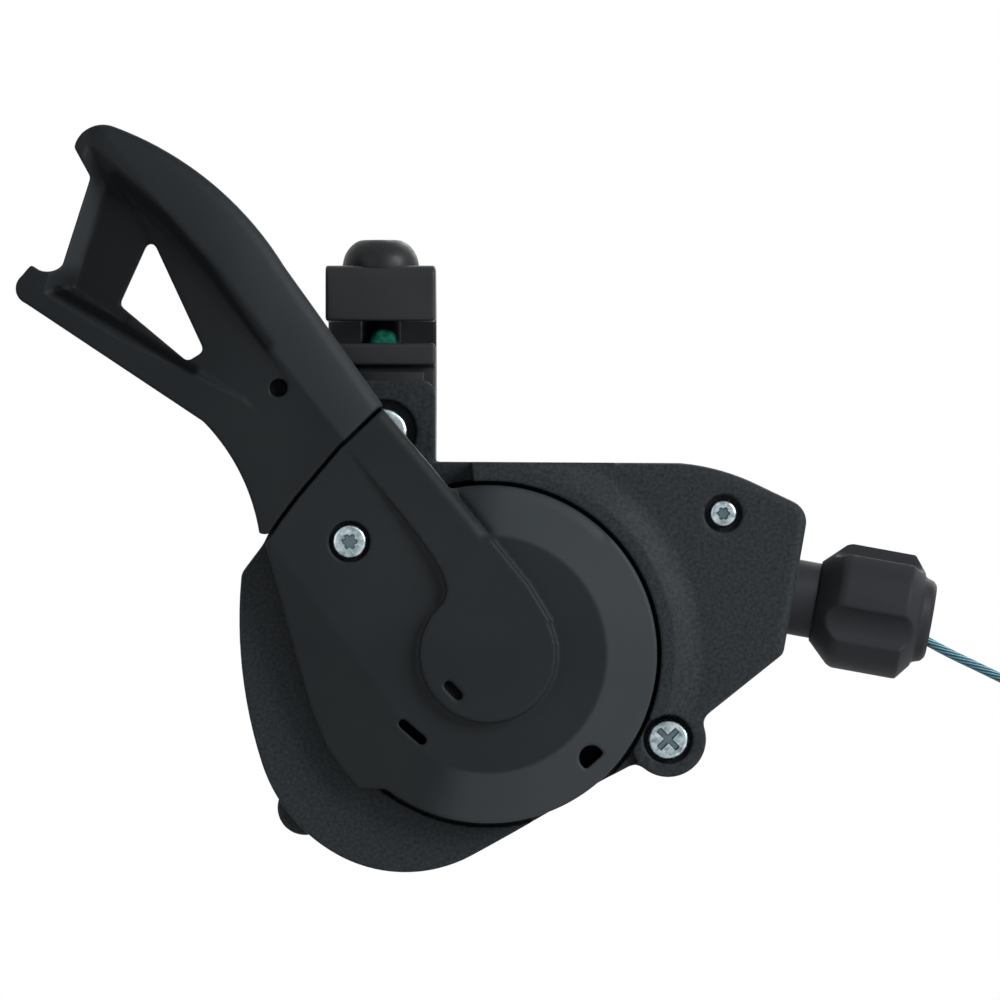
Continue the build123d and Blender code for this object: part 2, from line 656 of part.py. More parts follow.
# Winding drum: a grooved spool between two ratchet discs, with a pocket for the cable's head.
HEAD_ANGLE = WRAP_END + degrees(HEAD_LENGTH / 2 / GROOVE_R) + 1
GROOVE_FLOOR = GROOVE_R - WIRE_DIA / 2 - RUNNING
with BuildPart() as winding_drum:
    with BuildSketch(level(REAR_RATCHET)):
        add(ratchet(HOLDING_PIN_ANGLE + NOSE_LEAD + 2.5 - TOOTH_STEP))
    extrude(amount=RATCHET_THICK)
    with BuildSketch(level(SPOOL_FRONT)):
        add(ratchet(WINDING_PIN_ANGLE + NOSE_LEAD + 2.5))
    extrude(amount=RATCHET_THICK)
    with BuildSketch(section(0)):
        with BuildLine():
            Polyline(
                (AXLE_R + RUNNING, SPOOL_BACK),
                (SPOOL_R, SPOOL_BACK),
                (SPOOL_R, GROOVE_LEVEL - 1.25 * WIRE_DIA),
                (GROOVE_FLOOR, GROOVE_LEVEL - 0.6 * WIRE_DIA),
                (GROOVE_FLOOR, GROOVE_LEVEL + 0.6 * WIRE_DIA),
                (SPOOL_R, GROOVE_LEVEL + 1.25 * WIRE_DIA),
                (SPOOL_R, SPOOL_FRONT),
                (AXLE_R + RUNNING, SPOOL_FRONT),
                close=True,
            )
        make_face()
    revolve(axis=MAIN_AXIS)
    with BuildSketch(level(GROOVE_LEVEL - HEAD_R - FITTED)):
        with Locations((PIVOT_X, PIVOT_Z)):
            with PolarLocations(GROOVE_R + HEAD_R / 2, 1, start_angle=HEAD_ANGLE):
                Rectangle(3 * HEAD_R + 2 * FITTED, HEAD_LENGTH + 2 * FITTED)
    extrude(amount=2 * HEAD_R + 2 * FITTED, mode=Mode.SUBTRACT)
finish(winding_drum, "winding_drum")

head_place = polar(GROOVE_R, HEAD_ANGLE)
HEAD_PLANE = Plane(
    origin=(head_place[0], -GROOVE_LEVEL, head_place[1]),
    z_dir=(-sin(radians(HEAD_ANGLE)), 0, cos(radians(HEAD_ANGLE))),
)
with BuildPart() as cable_head:
    with BuildSketch(HEAD_PLANE):
        Circle(HEAD_R)
    extrude(amount=HEAD_LENGTH / 2, both=True)
finish(cable_head, "cable_head")

with BuildPart() as cable_wrap:
    with BuildSketch(section(WRAP_START)):
        with Locations((GROOVE_R, GROOVE_LEVEL)):
            Circle(WIRE_DIA / 2)
    revolve(axis=MAIN_AXIS, revolution_arc=WRAP_END - WRAP_START)
finish(cable_wrap, "cable_wrap")


def pawl(pin_angle, back):
    """Pawl on its pin, with its nose just clear of the ratchet, as a private part."""
    pin = polar(PAWL_REACH, pin_angle)
    nose_angle = pin_angle + NOSE_LEAD
    nose = polar(RATCHET_R + MOVING + RUNNING, nose_angle)
    away = Vector(nose[0] - pin[0], nose[1] - pin[1]).normalized()
    side = (away.Y * PAWL_PIN_R * 1.3, -away.X * PAWL_PIN_R * 1.3)
    with BuildPart(mode=Mode.PRIVATE) as made:
        with BuildSketch(level(back)):
            with Locations(pin):
                Circle(2 * PAWL_PIN_R)
            with BuildLine():
                Polyline(
                    nose,
                    polar(RATCHET_R + TOOTH_DEPTH + MOVING, nose_angle + 0.5),
                    (pin[0] + side[0], pin[1] + side[1]),
                    (pin[0] - side[0], pin[1] - side[1]),
                    close=True,
                )
            make_face()
            with Locations(pin):
                Circle(PAWL_PIN_R + RUNNING, mode=Mode.SUBTRACT)
        extrude(amount=PAWL_THICK)
    return made


holding_pawl = pawl(HOLDING_PIN_ANGLE, REAR_RATCHET)
finish(holding_pawl, "holding_pawl")
WINDING_PAWL_BACK = SPOOL_FRONT + MOVING
winding_pawl = pawl(WINDING_PIN_ANGLE, WINDING_PAWL_BACK)
finish(winding_pawl, "winding_pawl")

with BuildPart() as holding_pawl_pin:
    with BuildSketch(level(PLATE_BACK - SHEET - MOVING)):
        with Locations(polar(PAWL_REACH, HOLDING_PIN_ANGLE)):
            Circle(PAWL_PIN_R)
    extrude(amount=REAR_RATCHET + PAWL_THICK - PLATE_BACK + SHEET + MOVING)
finish(holding_pawl_pin, "holding_pawl_pin")

with BuildPart() as winding_pawl_pin:
    with BuildSketch(level(WINDING_PAWL_BACK)):
        with Locations(polar(PAWL_REACH, WINDING_PIN_ANGLE)):
            Circle(PAWL_PIN_R)
    extrude(amount=LEVER_PLATE_FRONT - WINDING_PAWL_BACK)
finish(winding_pawl_pin, "winding_pawl_pin")


def spiral_spring(place, inner, outer, turns, back, width, wire):
    """Flat spiral spring about a place on the face, as a private part."""
    count = round(turns * SPRING_STEPS)
    spiral = []
    for index in range(count + 1):
        radius = inner + (outer - inner) * index / count
        turn = 2 * pi * turns * index / count
        spiral.append((place[0] + radius * cos(turn), place[1] + radius * sin(turn)))
    with BuildPart(mode=Mode.PRIVATE) as made:
        with BuildSketch(level(back)):
            with BuildLine():
                Polyline(*spiral)
            trace(line_width=wire)
        extrude(amount=width)
    return made


# Springs: for the drum behind the base plate, for the lever round its bush, and for each pawl.
drum_return_spring = spiral_spring(
    (PIVOT_X, PIVOT_Z), AXLE_FLANGE_R + 2 * MOVING, DRUM_SPRING_R, 3.0,
    BACK + WALL + MOVING, 2.4, SPRING_WIRE,
)
finish(drum_return_spring, "drum_return_spring")

lever_return_spring = spiral_spring(
    (PIVOT_X, PIVOT_Z), BUSH_R + 2 * MOVING, RATCHET_R, 2.6,
    FRONT_RATCHET + MOVING, 2.6, SPRING_WIRE,
)
finish(lever_return_spring, "lever_return_spring")

winding_pawl_spring = spiral_spring(
    polar(PAWL_REACH, WINDING_PIN_ANGLE), PAWL_PIN_R + MOVING, 2 * PAWL_PIN_R, 1.8,
    WINDING_PAWL_BACK + PAWL_THICK + MOVING, 2.4, SPRING_WIRE / 2,
)
finish(winding_pawl_spring, "winding_pawl_spring")

holding_pawl_spring = spiral_spring(
    polar(PAWL_REACH, HOLDING_PIN_ANGLE), PAWL_PIN_R + MOVING, 2 * PAWL_PIN_R, 1.8,
    PLATE_BACK - MOVING - 1.4, 1.4, SPRING_WIRE / 2,
)
finish(holding_pawl_spring, "holding_pawl_spring")

# Lever bush, pressed into the lever plate.
with BuildPart() as lever_bush:
    with BuildSketch(section(0)):
        with BuildLine():
            Polyline(
                (AXLE_R + RUNNING, FRONT_RATCHET + MOVING),
                (BUSH_R, FRONT_RATCHET + MOVING),
                (BUSH_R, LEVER_PLATE_BACK),
                (BUSH_NECK_R, LEVER_PLATE_BACK),
                (BUSH_NECK_R, LEVER_PLATE_FRONT),
                (AXLE_R + RUNNING, LEVER_PLATE_FRONT),
                close=True,
            )
        make_face()
    revolve(axis=MAIN_AXIS)
finish(lever_bush, "lever_bush")

# Outlines of the lever: its cap over the disc, its arm, and the steel plate under both.
JOINT = [(0.4, -4.0), (-5.0, -9.1), (-10.0, -15.0), (-12.2, -17.9), (-14.2, -20.9)]
JOINT_REACH = [hypot(x - PIVOT_X, z - PIVOT_Z) for x, z in JOINT]
PLATE_ARM_R = min(JOINT_REACH) - EDGE_WALL
CAP_LEFT = [
    (-12.4, -27.5), (-10.4, -35.0), (-8.4, -41.9), (-6.4, -46.6),
    (-4.4, -49.4), (-2.6, -51.4), (0.8, -51.45),
]
BAR_RIGHT = [(13.0, -19.1), (6.75, -11.5)]
with BuildSketch() as cap_face:
    with Locations((PIVOT_X, PIVOT_Z)):
        Circle(DISC_R)
    with BuildLine():
        Polyline(*JOINT, *CAP_LEFT, (PIVOT_X, PIVOT_Z), *BAR_RIGHT, close=True)
    make_face()

with BuildSketch() as cap_clear:
    offset(cap_face.sketch, amount=JOINT_GAP)

with BuildSketch() as arm_face:
    with BuildLine():
        ThreePointArc((-38.1, 28.6), (-36.5, 30.9), (-33.4, 31.3))
        ThreePointArc((-33.4, 31.3), (-20.6, 23.9), (-12.0, 13.9))
        Line((-12.0, 13.9), (0.5, -3.7))
        Polyline((0.5, -3.7), (-2.0, -12.0), (-10.0, -20.0), (-15.0, -19.6))
        ThreePointArc((-15.0, -19.6), (-17.9, -11.1), (-22.0, -5.6))
        Line((-22.0, -5.6), (-44.1, 9.1))
        ThreePointArc((-44.1, 9.1), (-45.4, 11.0), (-44.6, 12.6))
        Line((-44.6, 12.6), (-43.4, 14.0))
        ThreePointArc((-43.4, 14.0), (-41.3, 13.1), (-39.6, 13.9))
        Line((-39.6, 13.9), (-36.1, 24.9))
        Line((-36.1, 24.9), (-38.1, 28.6))
    make_face()
    add(cap_clear.sketch, mode=Mode.SUBTRACT)

with BuildSketch() as plate_face:
    with Locations((PIVOT_X, PIVOT_Z)):
        Circle(PLATE_DISC_R)
    with BuildLine():
        Polyline(
            (PIVOT_X, PIVOT_Z),
            polar(PLATE_ARM_R, TONGUE_END),
            polar(PLATE_ARM_R, TONGUE_START),
            close=True,
        )
    make_face()

with BuildSketch() as tongue_face:
    with BuildLine():
        Polyline(
            polar(TONGUE_R, TONGUE_START),
            polar(max(JOINT_REACH), TONGUE_START),
            polar(max(JOINT_REACH), TONGUE_END),
            polar(TONGUE_R, TONGUE_END),
            close=True,
        )
    make_face()

RIVETS = (polar(RIVET_REACH, TONGUE_START + 4), polar(RIVET_REACH, TONGUE_END - 7))
with BuildPart() as lever_plate:
    with BuildSketch(level(LEVER_PLATE_BACK)):
        add(plate_face.sketch)
        with Locations((PIVOT_X, PIVOT_Z)):
            Circle(BUSH_NECK_R, mode=Mode.SUBTRACT)
        with Locations(polar(PAWL_REACH, WINDING_PIN_ANGLE)):
            Circle(PAWL_PIN_R, mode=Mode.SUBTRACT)
        with Locations(CAP_SCREW):
            Circle(CAP_SCREW_DIA / 2 + RUNNING, mode=Mode.SUBTRACT)
        with Locations(*RIVETS):
            Circle(RIVET_R, mode=Mode.SUBTRACT)
    extrude(amount=LEVER_PLATE_THICK)
finish(lever_plate, "lever_plate")

TONGUE_FRONT = LEVER_PLATE_FRONT + TONGUE_THICK
with BuildPart() as lever_rivet_upper:
    with BuildSketch(level(LEVER_PLATE_BACK)):
        with Locations(RIVETS[0]):
            Circle(RIVET_R)
    extrude(amount=TONGUE_FRONT - LEVER_PLATE_BACK)
finish(lever_rivet_upper, "lever_rivet_upper")

with BuildPart() as lever_rivet_lower:
    with BuildSketch(level(LEVER_PLATE_BACK)):
        with Locations(RIVETS[1]):
            Circle(RIVET_R)
    extrude(amount=TONGUE_FRONT - LEVER_PLATE_BACK)
finish(lever_rivet_lower, "lever_rivet_lower")

CAP_SCREW_SEAT = LEVER_FACE - SCREW_HEAD
lever_cap_screw = screw(
    CAP_SCREW, CAP_HEAD_DIA, CAP_SCREW_SEAT, SCREW_HEAD - FITTED,
    CAP_SCREW_DIA, LEVER_PLATE_BACK, lobe_recess(CAP_HEAD_DIA * 0.27),
)
finish(lever_cap_screw, "lever_cap_screw")

# Floor of the arm's web between its two flanges, the deeper panel at its end, and the window.
with BuildSketch() as web_face:
    with BuildLine():
        Polyline(
            (-34.4, 23.7), (-29.6, 20.3), (-22.2, 13.0), (-15.8, 5.0), (-9.0, -3.4),
            (-12.6, -7.6), (-16.9, -2.6), (-23.9, 1.7), (-31.8, 6.4), (-38.6, 11.4),
            close=True,
        )
    make_face()

with BuildSketch() as panel_face:
    with BuildLine():
        Polyline((-34.4, 23.7), (-31.4, 21.2), (-27.9, 15.7), (-31.8, 6.4), (-38.6, 11.4), close=True)
    make_face()

with BuildSketch() as window_face:
    with BuildLine():
        Polyline((-28.6, 17.6), (-32.5, 9.0), (-24.0, 1.9), (-21.9, 3.2), close=True)
    make_face()
    fillet(window_face.vertices(), radius=0.7)

# Tilt of the web and of the raised bar, which both fall away towards the finger pads.
DOWN_ARM = Vector(-0.695, 0, 0.719)
WEB_TILT = Vector(0, -1, 0) + DOWN_ARM * WEB_SLOPE
BAR_TILT = Vector(0, -1, 0) + DOWN_ARM * BAR_SLOPE
WEB_PLANE = Plane(origin=(0, -WEB_FRONT, 0), x_dir=(1, 0, 0), z_dir=WEB_TILT)
BAR_PLANE = Plane(origin=(0, -BAR_FRONT, 0), x_dir=(1, 0, 0), z_dir=BAR_TILT)

# Lever arm: two flanges and a web, with a finger pad at each end of its crossbar.
with BuildPart() as lever_arm:
    with BuildSketch(level(LEVER_PLATE_BACK)):
        add(arm_face.sketch)
    extrude(amount=LEVER_FACE - LEVER_PLATE_BACK)
    with BuildSketch(level(ARM_BACK)):
        add(arm_face.sketch)
        with Locations((PIVOT_X, PIVOT_Z)):
            Circle(ARM_SWEEP_R, mode=Mode.SUBTRACT)
    extrude(amount=LEVER_PLATE_BACK - ARM_BACK)
    with BuildSketch(level(PAD_BACK)):
        add(arm_face.sketch)
        with Locations((PIVOT_X, PIVOT_Z)):
            Circle(PAD_SWEEP_R, mode=Mode.SUBTRACT)
        with Locations((0, PIVOT_Z)):
            Rectangle(-2 * PAD_RIGHT, 4 * PAD_SWEEP_R, mode=Mode.SUBTRACT)
    extrude(amount=ARM_BACK - PAD_BACK)
    with BuildSketch(level(PAD_BACK)):
        add(web_face.sketch)
        with Locations((PIVOT_X, PIVOT_Z)):
            Circle(ARM_SWEEP_R + WALL, mode=Mode.SUBTRACT)
    extrude(amount=WEB_BACK - PAD_BACK, mode=Mode.SUBTRACT)
    with BuildSketch(WEB_PLANE):
        add(web_face.sketch)
    extrude(amount=LEVER_FACE - WEB_BACK, taper=-WEB_DRAFT, mode=Mode.SUBTRACT)
    with BuildSketch(WEB_PLANE):
        add(panel_face.sketch)
    extrude(amount=-PANEL_DEPTH, mode=Mode.SUBTRACT)
    with BuildSketch(level(PAD_BACK)):
        add(window_face.sketch)
    extrude(amount=LEVER_FACE, mode=Mode.SUBTRACT)
    with BuildSketch(level(LEVER_FACE)):
        with Locations(DIMPLE):
            Circle(DIMPLE_R)
    extrude(amount=-DIMPLE_DEPTH, mode=Mode.SUBTRACT)
    with BuildSketch(level(LEVER_PLATE_FRONT)):
        add(tongue_face.sketch)
    extrude(amount=TONGUE_THICK)
    with BuildSketch(level(LEVER_PLATE_FRONT)):
        with Locations(*RIVETS):
            Circle(RIVET_R)
        with Locations(CAP_SCREW):
            Circle(CAP_SCREW_DIA / 2 + RUNNING)
    extrude(amount=TONGUE_THICK, mode=Mode.SUBTRACT)
finish(lever_arm, "lever_arm")

# Lever cap: disc with a coned rim, a face that falls away beyond a crease, a raised bar and boss.
CREASE = ((-11.9, -22.9), (6.75, -47.9))
CREASE_ALONG = Vector(CREASE[1][0] - CREASE[0][0], 0, CREASE[1][1] - CREASE[0][1]).normalized()
CREASE_LEFT = Vector(CREASE_ALONG.Z, 0, -CREASE_ALONG.X)
CREASE_PLANE = Plane(
    origin=(CREASE[0][0], -LEVER_FACE, CREASE[0][1]),
    x_dir=CREASE_ALONG,
    z_dir=Vector(0, -1, 0) + CREASE_LEFT * tan(radians(CREASE_SLOPE)),
)
with BuildPart(mode=Mode.PRIVATE) as crease_cut:
    with BuildSketch(level(LEVER_PLATE_BACK)):
        with BuildLine():
            Polyline(
                (CREASE[0][0] - 20 * CREASE_ALONG.X, CREASE[0][1] - 20 * CREASE_ALONG.Z),
                (CREASE[1][0] + 20 * CREASE_ALONG.X, CREASE[1][1] + 20 * CREASE_ALONG.Z),
                (CREASE[1][0] - 30, CREASE[1][1] - 30),
                (CREASE[0][0] - 30, CREASE[0][1] - 10),
                close=True,
            )
        make_face()
    extrude(amount=LEVER_FACE)
    split(bisect_by=CREASE_PLANE, keep=Keep.TOP)

BAR_LEFT = [
    (7.75, -29.1), (8.4, -26.6), (7.75, -24.25), (6.0, -21.5),
    (3.6, -18.25), (0.4, -14.4), (-4.3, -8.5),
]
with BuildPart(mode=Mode.PRIVATE) as cap_bar:
    with BuildSketch(level(TONGUE_FRONT)):
        with BuildLine():
            Polyline(
                JOINT[0], (6.75, -11.5), (13.0, -19.1), (18.6, -26.0), (21.3, -30.5),
                (PIVOT_X, PIVOT_Z), *BAR_LEFT, close=True,
            )
        make_face()
    extrude(amount=BOSS_FACE - TONGUE_FRONT)
    split(bisect_by=BAR_PLANE, keep=Keep.BOTTOM)

with BuildSketch() as d_face:
    Circle(D_HOLE_R)
    with Locations((D_HOLE_FLAT + D_HOLE_R, 0)):
        Rectangle(2 * D_HOLE_R, 2 * D_HOLE_R, mode=Mode.SUBTRACT)

with BuildPart() as lever_cap:
    with BuildSketch(level(LEVER_PLATE_BACK)):
        add(cap_face.sketch)
    extrude(amount=LEVER_FACE - LEVER_PLATE_BACK)
    add(crease_cut.part, mode=Mode.SUBTRACT)
    with BuildSketch(section(CONE_START)):
        with BuildLine():
            Polyline(
                (DISC_FLAT_R, LEVER_FACE),
                (DISC_R, DISC_EDGE),
                (DISC_R + WALL, DISC_EDGE),
                (DISC_R + WALL, LEVER_FACE + WALL),
                (DISC_FLAT_R, LEVER_FACE + WALL),
                close=True,
            )
        make_face()
    revolve(axis=MAIN_AXIS, revolution_arc=CONE_END - CONE_START, mode=Mode.SUBTRACT)
    add(cap_bar.part)
    with BuildSketch(level(TONGUE_FRONT)):
        with Locations((PIVOT_X, PIVOT_Z)):
            Circle(BOSS_R)
    extrude(amount=BOSS_FACE - TONGUE_FRONT)
    with BuildSketch(level(LEVER_PLATE_BACK)):
        offset(plate_face.sketch, amount=FITTED)
    extrude(amount=LEVER_PLATE_THICK + FITTED, mode=Mode.SUBTRACT)
    with BuildSketch(level(LEVER_PLATE_BACK)):
        offset(tongue_face.sketch, amount=FITTED)
    extrude(amount=TONGUE_FRONT + FITTED - LEVER_PLATE_BACK, mode=Mode.SUBTRACT)
    with BuildSketch(level(LEVER_PLATE_BACK)):
        with Locations((PIVOT_X, PIVOT_Z)):
            Circle(NUT_SPACE_R)
    extrude(amount=AXLE_TIP + MOVING - LEVER_PLATE_BACK, mode=Mode.SUBTRACT)
    with BuildSketch(level(LEVER_PLATE_FRONT)):
        with Locations(Location((4.1, -44.3, 0), (0, 0, -41))):
            SlotOverall(4.3, 1.15)
        with Locations(Location((*D_HOLE, 0), (0, 0, D_HOLE_TURN))):
            add(d_face.sketch)
        with Locations(CAP_SCREW):
            Circle(CAP_SCREW_DIA / 2 + RUNNING)
    extrude(amount=LEVER_FACE, mode=Mode.SUBTRACT)
    with BuildSketch(level(CAP_SCREW_SEAT)):
        with Locations(CAP_SCREW):
            Circle(CAP_SINK_DIA / 2)
    extrude(amount=LEVER_FACE, mode=Mode.SUBTRACT)
    with BuildSketch(level(BOSS_FACE)):
        with Locations(Location((9.2, -39.1, 0), (0, 0, -47))):
            SlotOverall(3.0, 1.15)
    extrude(amount=-0.6, mode=Mode.SUBTRACT)
finish(lever_cap, "lever_cap")

# Barrel adjuster: the seat held between the shells, its detent ring, the hollow bolt, the knob.
with BuildPart() as adjuster_seat:
    with BuildSketch(BARREL):
        with BuildLine():
            Polyline(
                (NECK_BACK, ADJUSTER_BOLT_R + RUNNING),
                (NECK_BACK, NECK_R + 1),
                (-WALL - FITTED, NECK_R + 1),
                (-WALL - FITTED, NECK_R - RUNNING),
                (NECK_END, NECK_R - RUNNING),
                (NECK_END, DETENT_R + FITTED),
                (DETENT_START - FITTED, DETENT_R + FITTED),
                (DETENT_START - FITTED, ADJUSTER_BOLT_R + RUNNING),
                close=True,
            )
        make_face()
    revolve(axis=BARREL_AXIS)
finish(adjuster_seat, "adjuster_seat")

with BuildPart() as detent_ring:
    with BuildSketch(BARREL_FACE.offset(DETENT_START)):
        Circle(DETENT_R)
        Circle(ADJUSTER_BOLT_R + RUNNING, mode=Mode.SUBTRACT)
    extrude(amount=DETENT_END - DETENT_START)
    with BuildSketch(BARREL_FACE.offset(DETENT_END)):
        with PolarLocations(DETENT_R, 8):
            Rectangle(1.4, 0.8)
    extrude(amount=-0.5, mode=Mode.SUBTRACT)
finish(detent_ring, "detent_ring")

with BuildPart() as adjuster_bolt:
    with BuildSketch(BARREL_FACE.offset(NECK_BACK + MOVING)):
        Circle(ADJUSTER_BOLT_R)
        Circle(WIRE_HOLE_R, mode=Mode.SUBTRACT)
    extrude(amount=SOCKET_START - MOVING - NECK_BACK)
finish(adjuster_bolt, "adjuster_bolt")

with BuildPart() as adjuster_knob:
    with BuildSketch(BARREL):
        with BuildLine():
            Polyline(
                (SOCKET_START, ADJUSTER_BOLT_R), (KNOB_START, ADJUSTER_BOLT_R),
                (KNOB_START, KNOB_NECK_R), (KNOB_START + KNOB_CONE - 0.4, KNOB_R - 0.3),
                (KNOB_START + KNOB_CONE + 0.2, KNOB_R), (KNOB_END - 1.9, KNOB_R),
                (KNOB_END, NOSE_R + 0.4), (NOSE_END - 0.5, NOSE_R), (NOSE_END, NOSE_R - 0.6),
                (NOSE_END, CASING_R), (SOCKET_START, CASING_R), (SOCKET_START, ADJUSTER_BOLT_R),
            )
        make_face()
    revolve(axis=BARREL_AXIS)
    with BuildSketch(BARREL_FACE.offset(KNOB_START)):
        with PolarLocations(
            KNOB_R + GRIP_GROOVE_R - GRIP_GROOVE_DEPTH, GRIP_GROOVES, start_angle=GRIP_GROOVE_ANGLE
        ):
            Circle(GRIP_GROOVE_R)
    extrude(amount=KNOB_END - KNOB_START, mode=Mode.SUBTRACT)
finish(adjuster_knob, "adjuster_knob")

# Cable from the drum to the adjuster.
RUN_START = Vector(*polar(GROOVE_R, 90 - BARREL_SLOPE)) - Vector(BARREL_X, BARREL_Z)
with BuildPart() as cable_run:
    with BuildSketch(BARREL_FACE.offset(MOVING - RUN_START.length)):
        Circle(WIRE_DIA / 2)
    extrude(amount=RUN_START.length + SOCKET_START)
finish(cable_run, "cable_run")

# Free cable: it leaves the adjuster, hangs down and is tied in a coil.
TAIL = [
    (60.3, -29.07), (64.0, -29.74), (69.4, -33.05), (77.5, -37.0),
    (89.7, -43.8), (103.8, -53.5), (120.0, -66.0),
]
COIL_R = 23.0
COIL_BUNDLE_R = 3.1
COIL_ANGLE = 52.3       # where the tail joins the coil
COIL_X = TAIL[-1][0] - COIL_R * cos(radians(COIL_ANGLE))
COIL_Z = TAIL[-1][1] - COIL_R * sin(radians(COIL_ANGLE))
TIE_ANGLE = 215.0
bends = []
for before, corner, after in zip(TAIL, TAIL[1:], TAIL[2:]):
    run_in = Vector(corner[0] - before[0], corner[1] - before[1])
    run_out = Vector(after[0] - corner[0], after[1] - corner[1])
    turn = radians(run_in.get_angle(run_out))
    bends.append(round(0.45 * min(run_in.length, run_out.length) / tan(turn / 2), 1))
print("cable bends", bends)

with BuildPart() as cable_tail:
    with BuildLine(level(GROOVE_LEVEL)) as tail_line:
        FilletPolyline(*TAIL, radius=min(bends))
    with BuildSketch(Plane(origin=tail_line.line @ 0, z_dir=tail_line.line % 0)):
        Circle(WIRE_DIA / 2)
    sweep(path=tail_line.line)
finish(cable_tail, "cable_tail")

with BuildPart() as cable_coil:
    with BuildSketch(Plane(origin=(COIL_X, -GROOVE_LEVEL, COIL_Z), x_dir=(1, 0, 0), z_dir=(0, 0, 1))):
        with Locations((COIL_R, 0)):
            RegularPolygon(radius=COIL_BUNDLE_R, side_count=10)
    revolve(axis=Axis((COIL_X, -GROOVE_LEVEL, COIL_Z), (0, -1, 0)))
finish(cable_coil, "cable_coil")

tie_out = Vector(cos(radians(TIE_ANGLE)), 0, sin(radians(TIE_ANGLE)))
tie_place = Vector(COIL_X, -GROOVE_LEVEL, COIL_Z) + tie_out * COIL_R
with BuildPart() as coil_tie:
    with BuildSketch(Plane(origin=tie_place, x_dir=(0, -1, 0), z_dir=tie_out.cross(Vector(0, 1, 0)))):
        Circle(COIL_BUNDLE_R + 0.9)
        Circle(COIL_BUNDLE_R + FITTED, mode=Mode.SUBTRACT)
    extrude(amount=1.5, both=True)
finish(coil_tie, "coil_tie")
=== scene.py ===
# %% [markdown]
# A trigger gear shifter, the hand control that sits beside a bicycle's handlebar grip.
# The thumb pushes or pulls one long lever, the lever winds a drum inside the case, and
# the drum pulls a thin steel cable that leaves through the adjuster on the right.
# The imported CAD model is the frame. It fixes every size and place, and this script adds
# the finish: softened edges, moulded and anodised surfaces, the real cable and the light.

# %% The frame and its box
import json
from math import atan2, cos, degrees, pi, radians, sin, sqrt

import bpy
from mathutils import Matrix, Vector
from mathutils.kdtree import KDTree


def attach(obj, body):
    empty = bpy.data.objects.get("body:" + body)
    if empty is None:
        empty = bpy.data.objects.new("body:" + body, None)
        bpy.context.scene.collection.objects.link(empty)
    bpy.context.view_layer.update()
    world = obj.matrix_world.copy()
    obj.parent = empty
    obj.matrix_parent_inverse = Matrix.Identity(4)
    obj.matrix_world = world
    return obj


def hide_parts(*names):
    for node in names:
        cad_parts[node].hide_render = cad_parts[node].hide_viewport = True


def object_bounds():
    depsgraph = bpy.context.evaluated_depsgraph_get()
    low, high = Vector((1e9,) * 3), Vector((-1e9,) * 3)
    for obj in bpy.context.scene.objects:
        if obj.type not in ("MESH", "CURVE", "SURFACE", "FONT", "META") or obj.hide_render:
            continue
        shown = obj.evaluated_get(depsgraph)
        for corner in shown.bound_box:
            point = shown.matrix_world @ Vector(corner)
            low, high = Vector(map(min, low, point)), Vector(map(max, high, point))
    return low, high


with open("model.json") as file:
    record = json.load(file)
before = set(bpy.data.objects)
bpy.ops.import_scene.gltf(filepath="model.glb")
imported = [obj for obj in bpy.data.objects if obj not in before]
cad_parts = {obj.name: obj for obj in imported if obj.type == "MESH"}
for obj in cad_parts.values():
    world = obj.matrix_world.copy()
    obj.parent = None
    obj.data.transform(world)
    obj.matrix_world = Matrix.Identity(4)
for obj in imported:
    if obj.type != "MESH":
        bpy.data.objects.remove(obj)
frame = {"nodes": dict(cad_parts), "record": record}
cad_box = [list(corner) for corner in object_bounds()]
print("CAD box", cad_box)

# %% [markdown]
# The photograph looks straight at the shifter's face from far away, so a long lens stands
# well back: a short lens close by would show the sides of the clamp and the knob too.
# The picture is 1000 pixels square, and a pixel is 0.125 mm at the lever's face.

# %% Camera
MM = 0.001
PIXEL = 0.125 * MM
PICTURE = 1000
FACE_LEVEL = 27 * MM
BORE_PIXEL = (380, 377)
LENS = 500
SENSOR = 36


def photo_point(column, row, level):
    """Point of the row frame that the photograph shows at a pixel, at a level in mm."""
    return ((column - BORE_PIXEL[0]) * PIXEL, -level * MM, (BORE_PIXEL[1] - row) * PIXEL)


def add_camera():
    """A long lens that looks along +Y at the middle of the picture."""
    across = PICTURE * PIXEL
    middle = photo_point(PICTURE / 2, PICTURE / 2, FACE_LEVEL / MM)
    stand_off = across * LENS / SENSOR
    place = (middle[0], middle[1] - stand_off, middle[2])
    bpy.ops.object.camera_add(location=place, rotation=(pi / 2, 0, 0))
    camera = bpy.context.object
    camera.name = "studio_camera"
    camera.data.lens = LENS
    camera.data.sensor_width = SENSOR
    camera.data.clip_end = 20
    bpy.context.scene.camera = camera
    print("camera stands", round(stand_off, 3), "m from the face")


add_camera()
bpy.context.scene.view_settings.view_transform = "Standard"

# %% [markdown]
# The inner cable is stranded steel, 1.2 mm thick and a little under two metres long. Its
# nipple sits in the drum, and new shifters come with the free end wound up and tied.
# One spline takes the route of the CAD tube and then winds the coil. Each turn of the
# coil lies at its own place in the bundle, turned by the golden angle from the one before,
# which keeps the turns a wire's width apart all the way round. The spline cuts inside its
# corners, so three of its points lie half a millimetre outside the CAD tube's corners.

# %% The cable's route
CABLE_LEVEL = 19.0
CABLE_DIA = 1.2
TAIL = [
    (60.3, -29.07), (64.0, -30.0), (69.2, -33.6), (77.5, -37.5),
    (89.7, -43.8), (103.8, -53.5), (120.0, -66.0),
]
COIL_R = 23.0
COIL_ANGLE = 52.3
COIL_TURNS = 11
COIL_STEPS = 16
BUNDLE_SPREAD = 0.72
GOLDEN_ANGLE = 137.508
COIL_X = TAIL[-1][0] - COIL_R * cos(radians(COIL_ANGLE))
COIL_Z = TAIL[-1][1] - COIL_R * sin(radians(COIL_ANGLE))


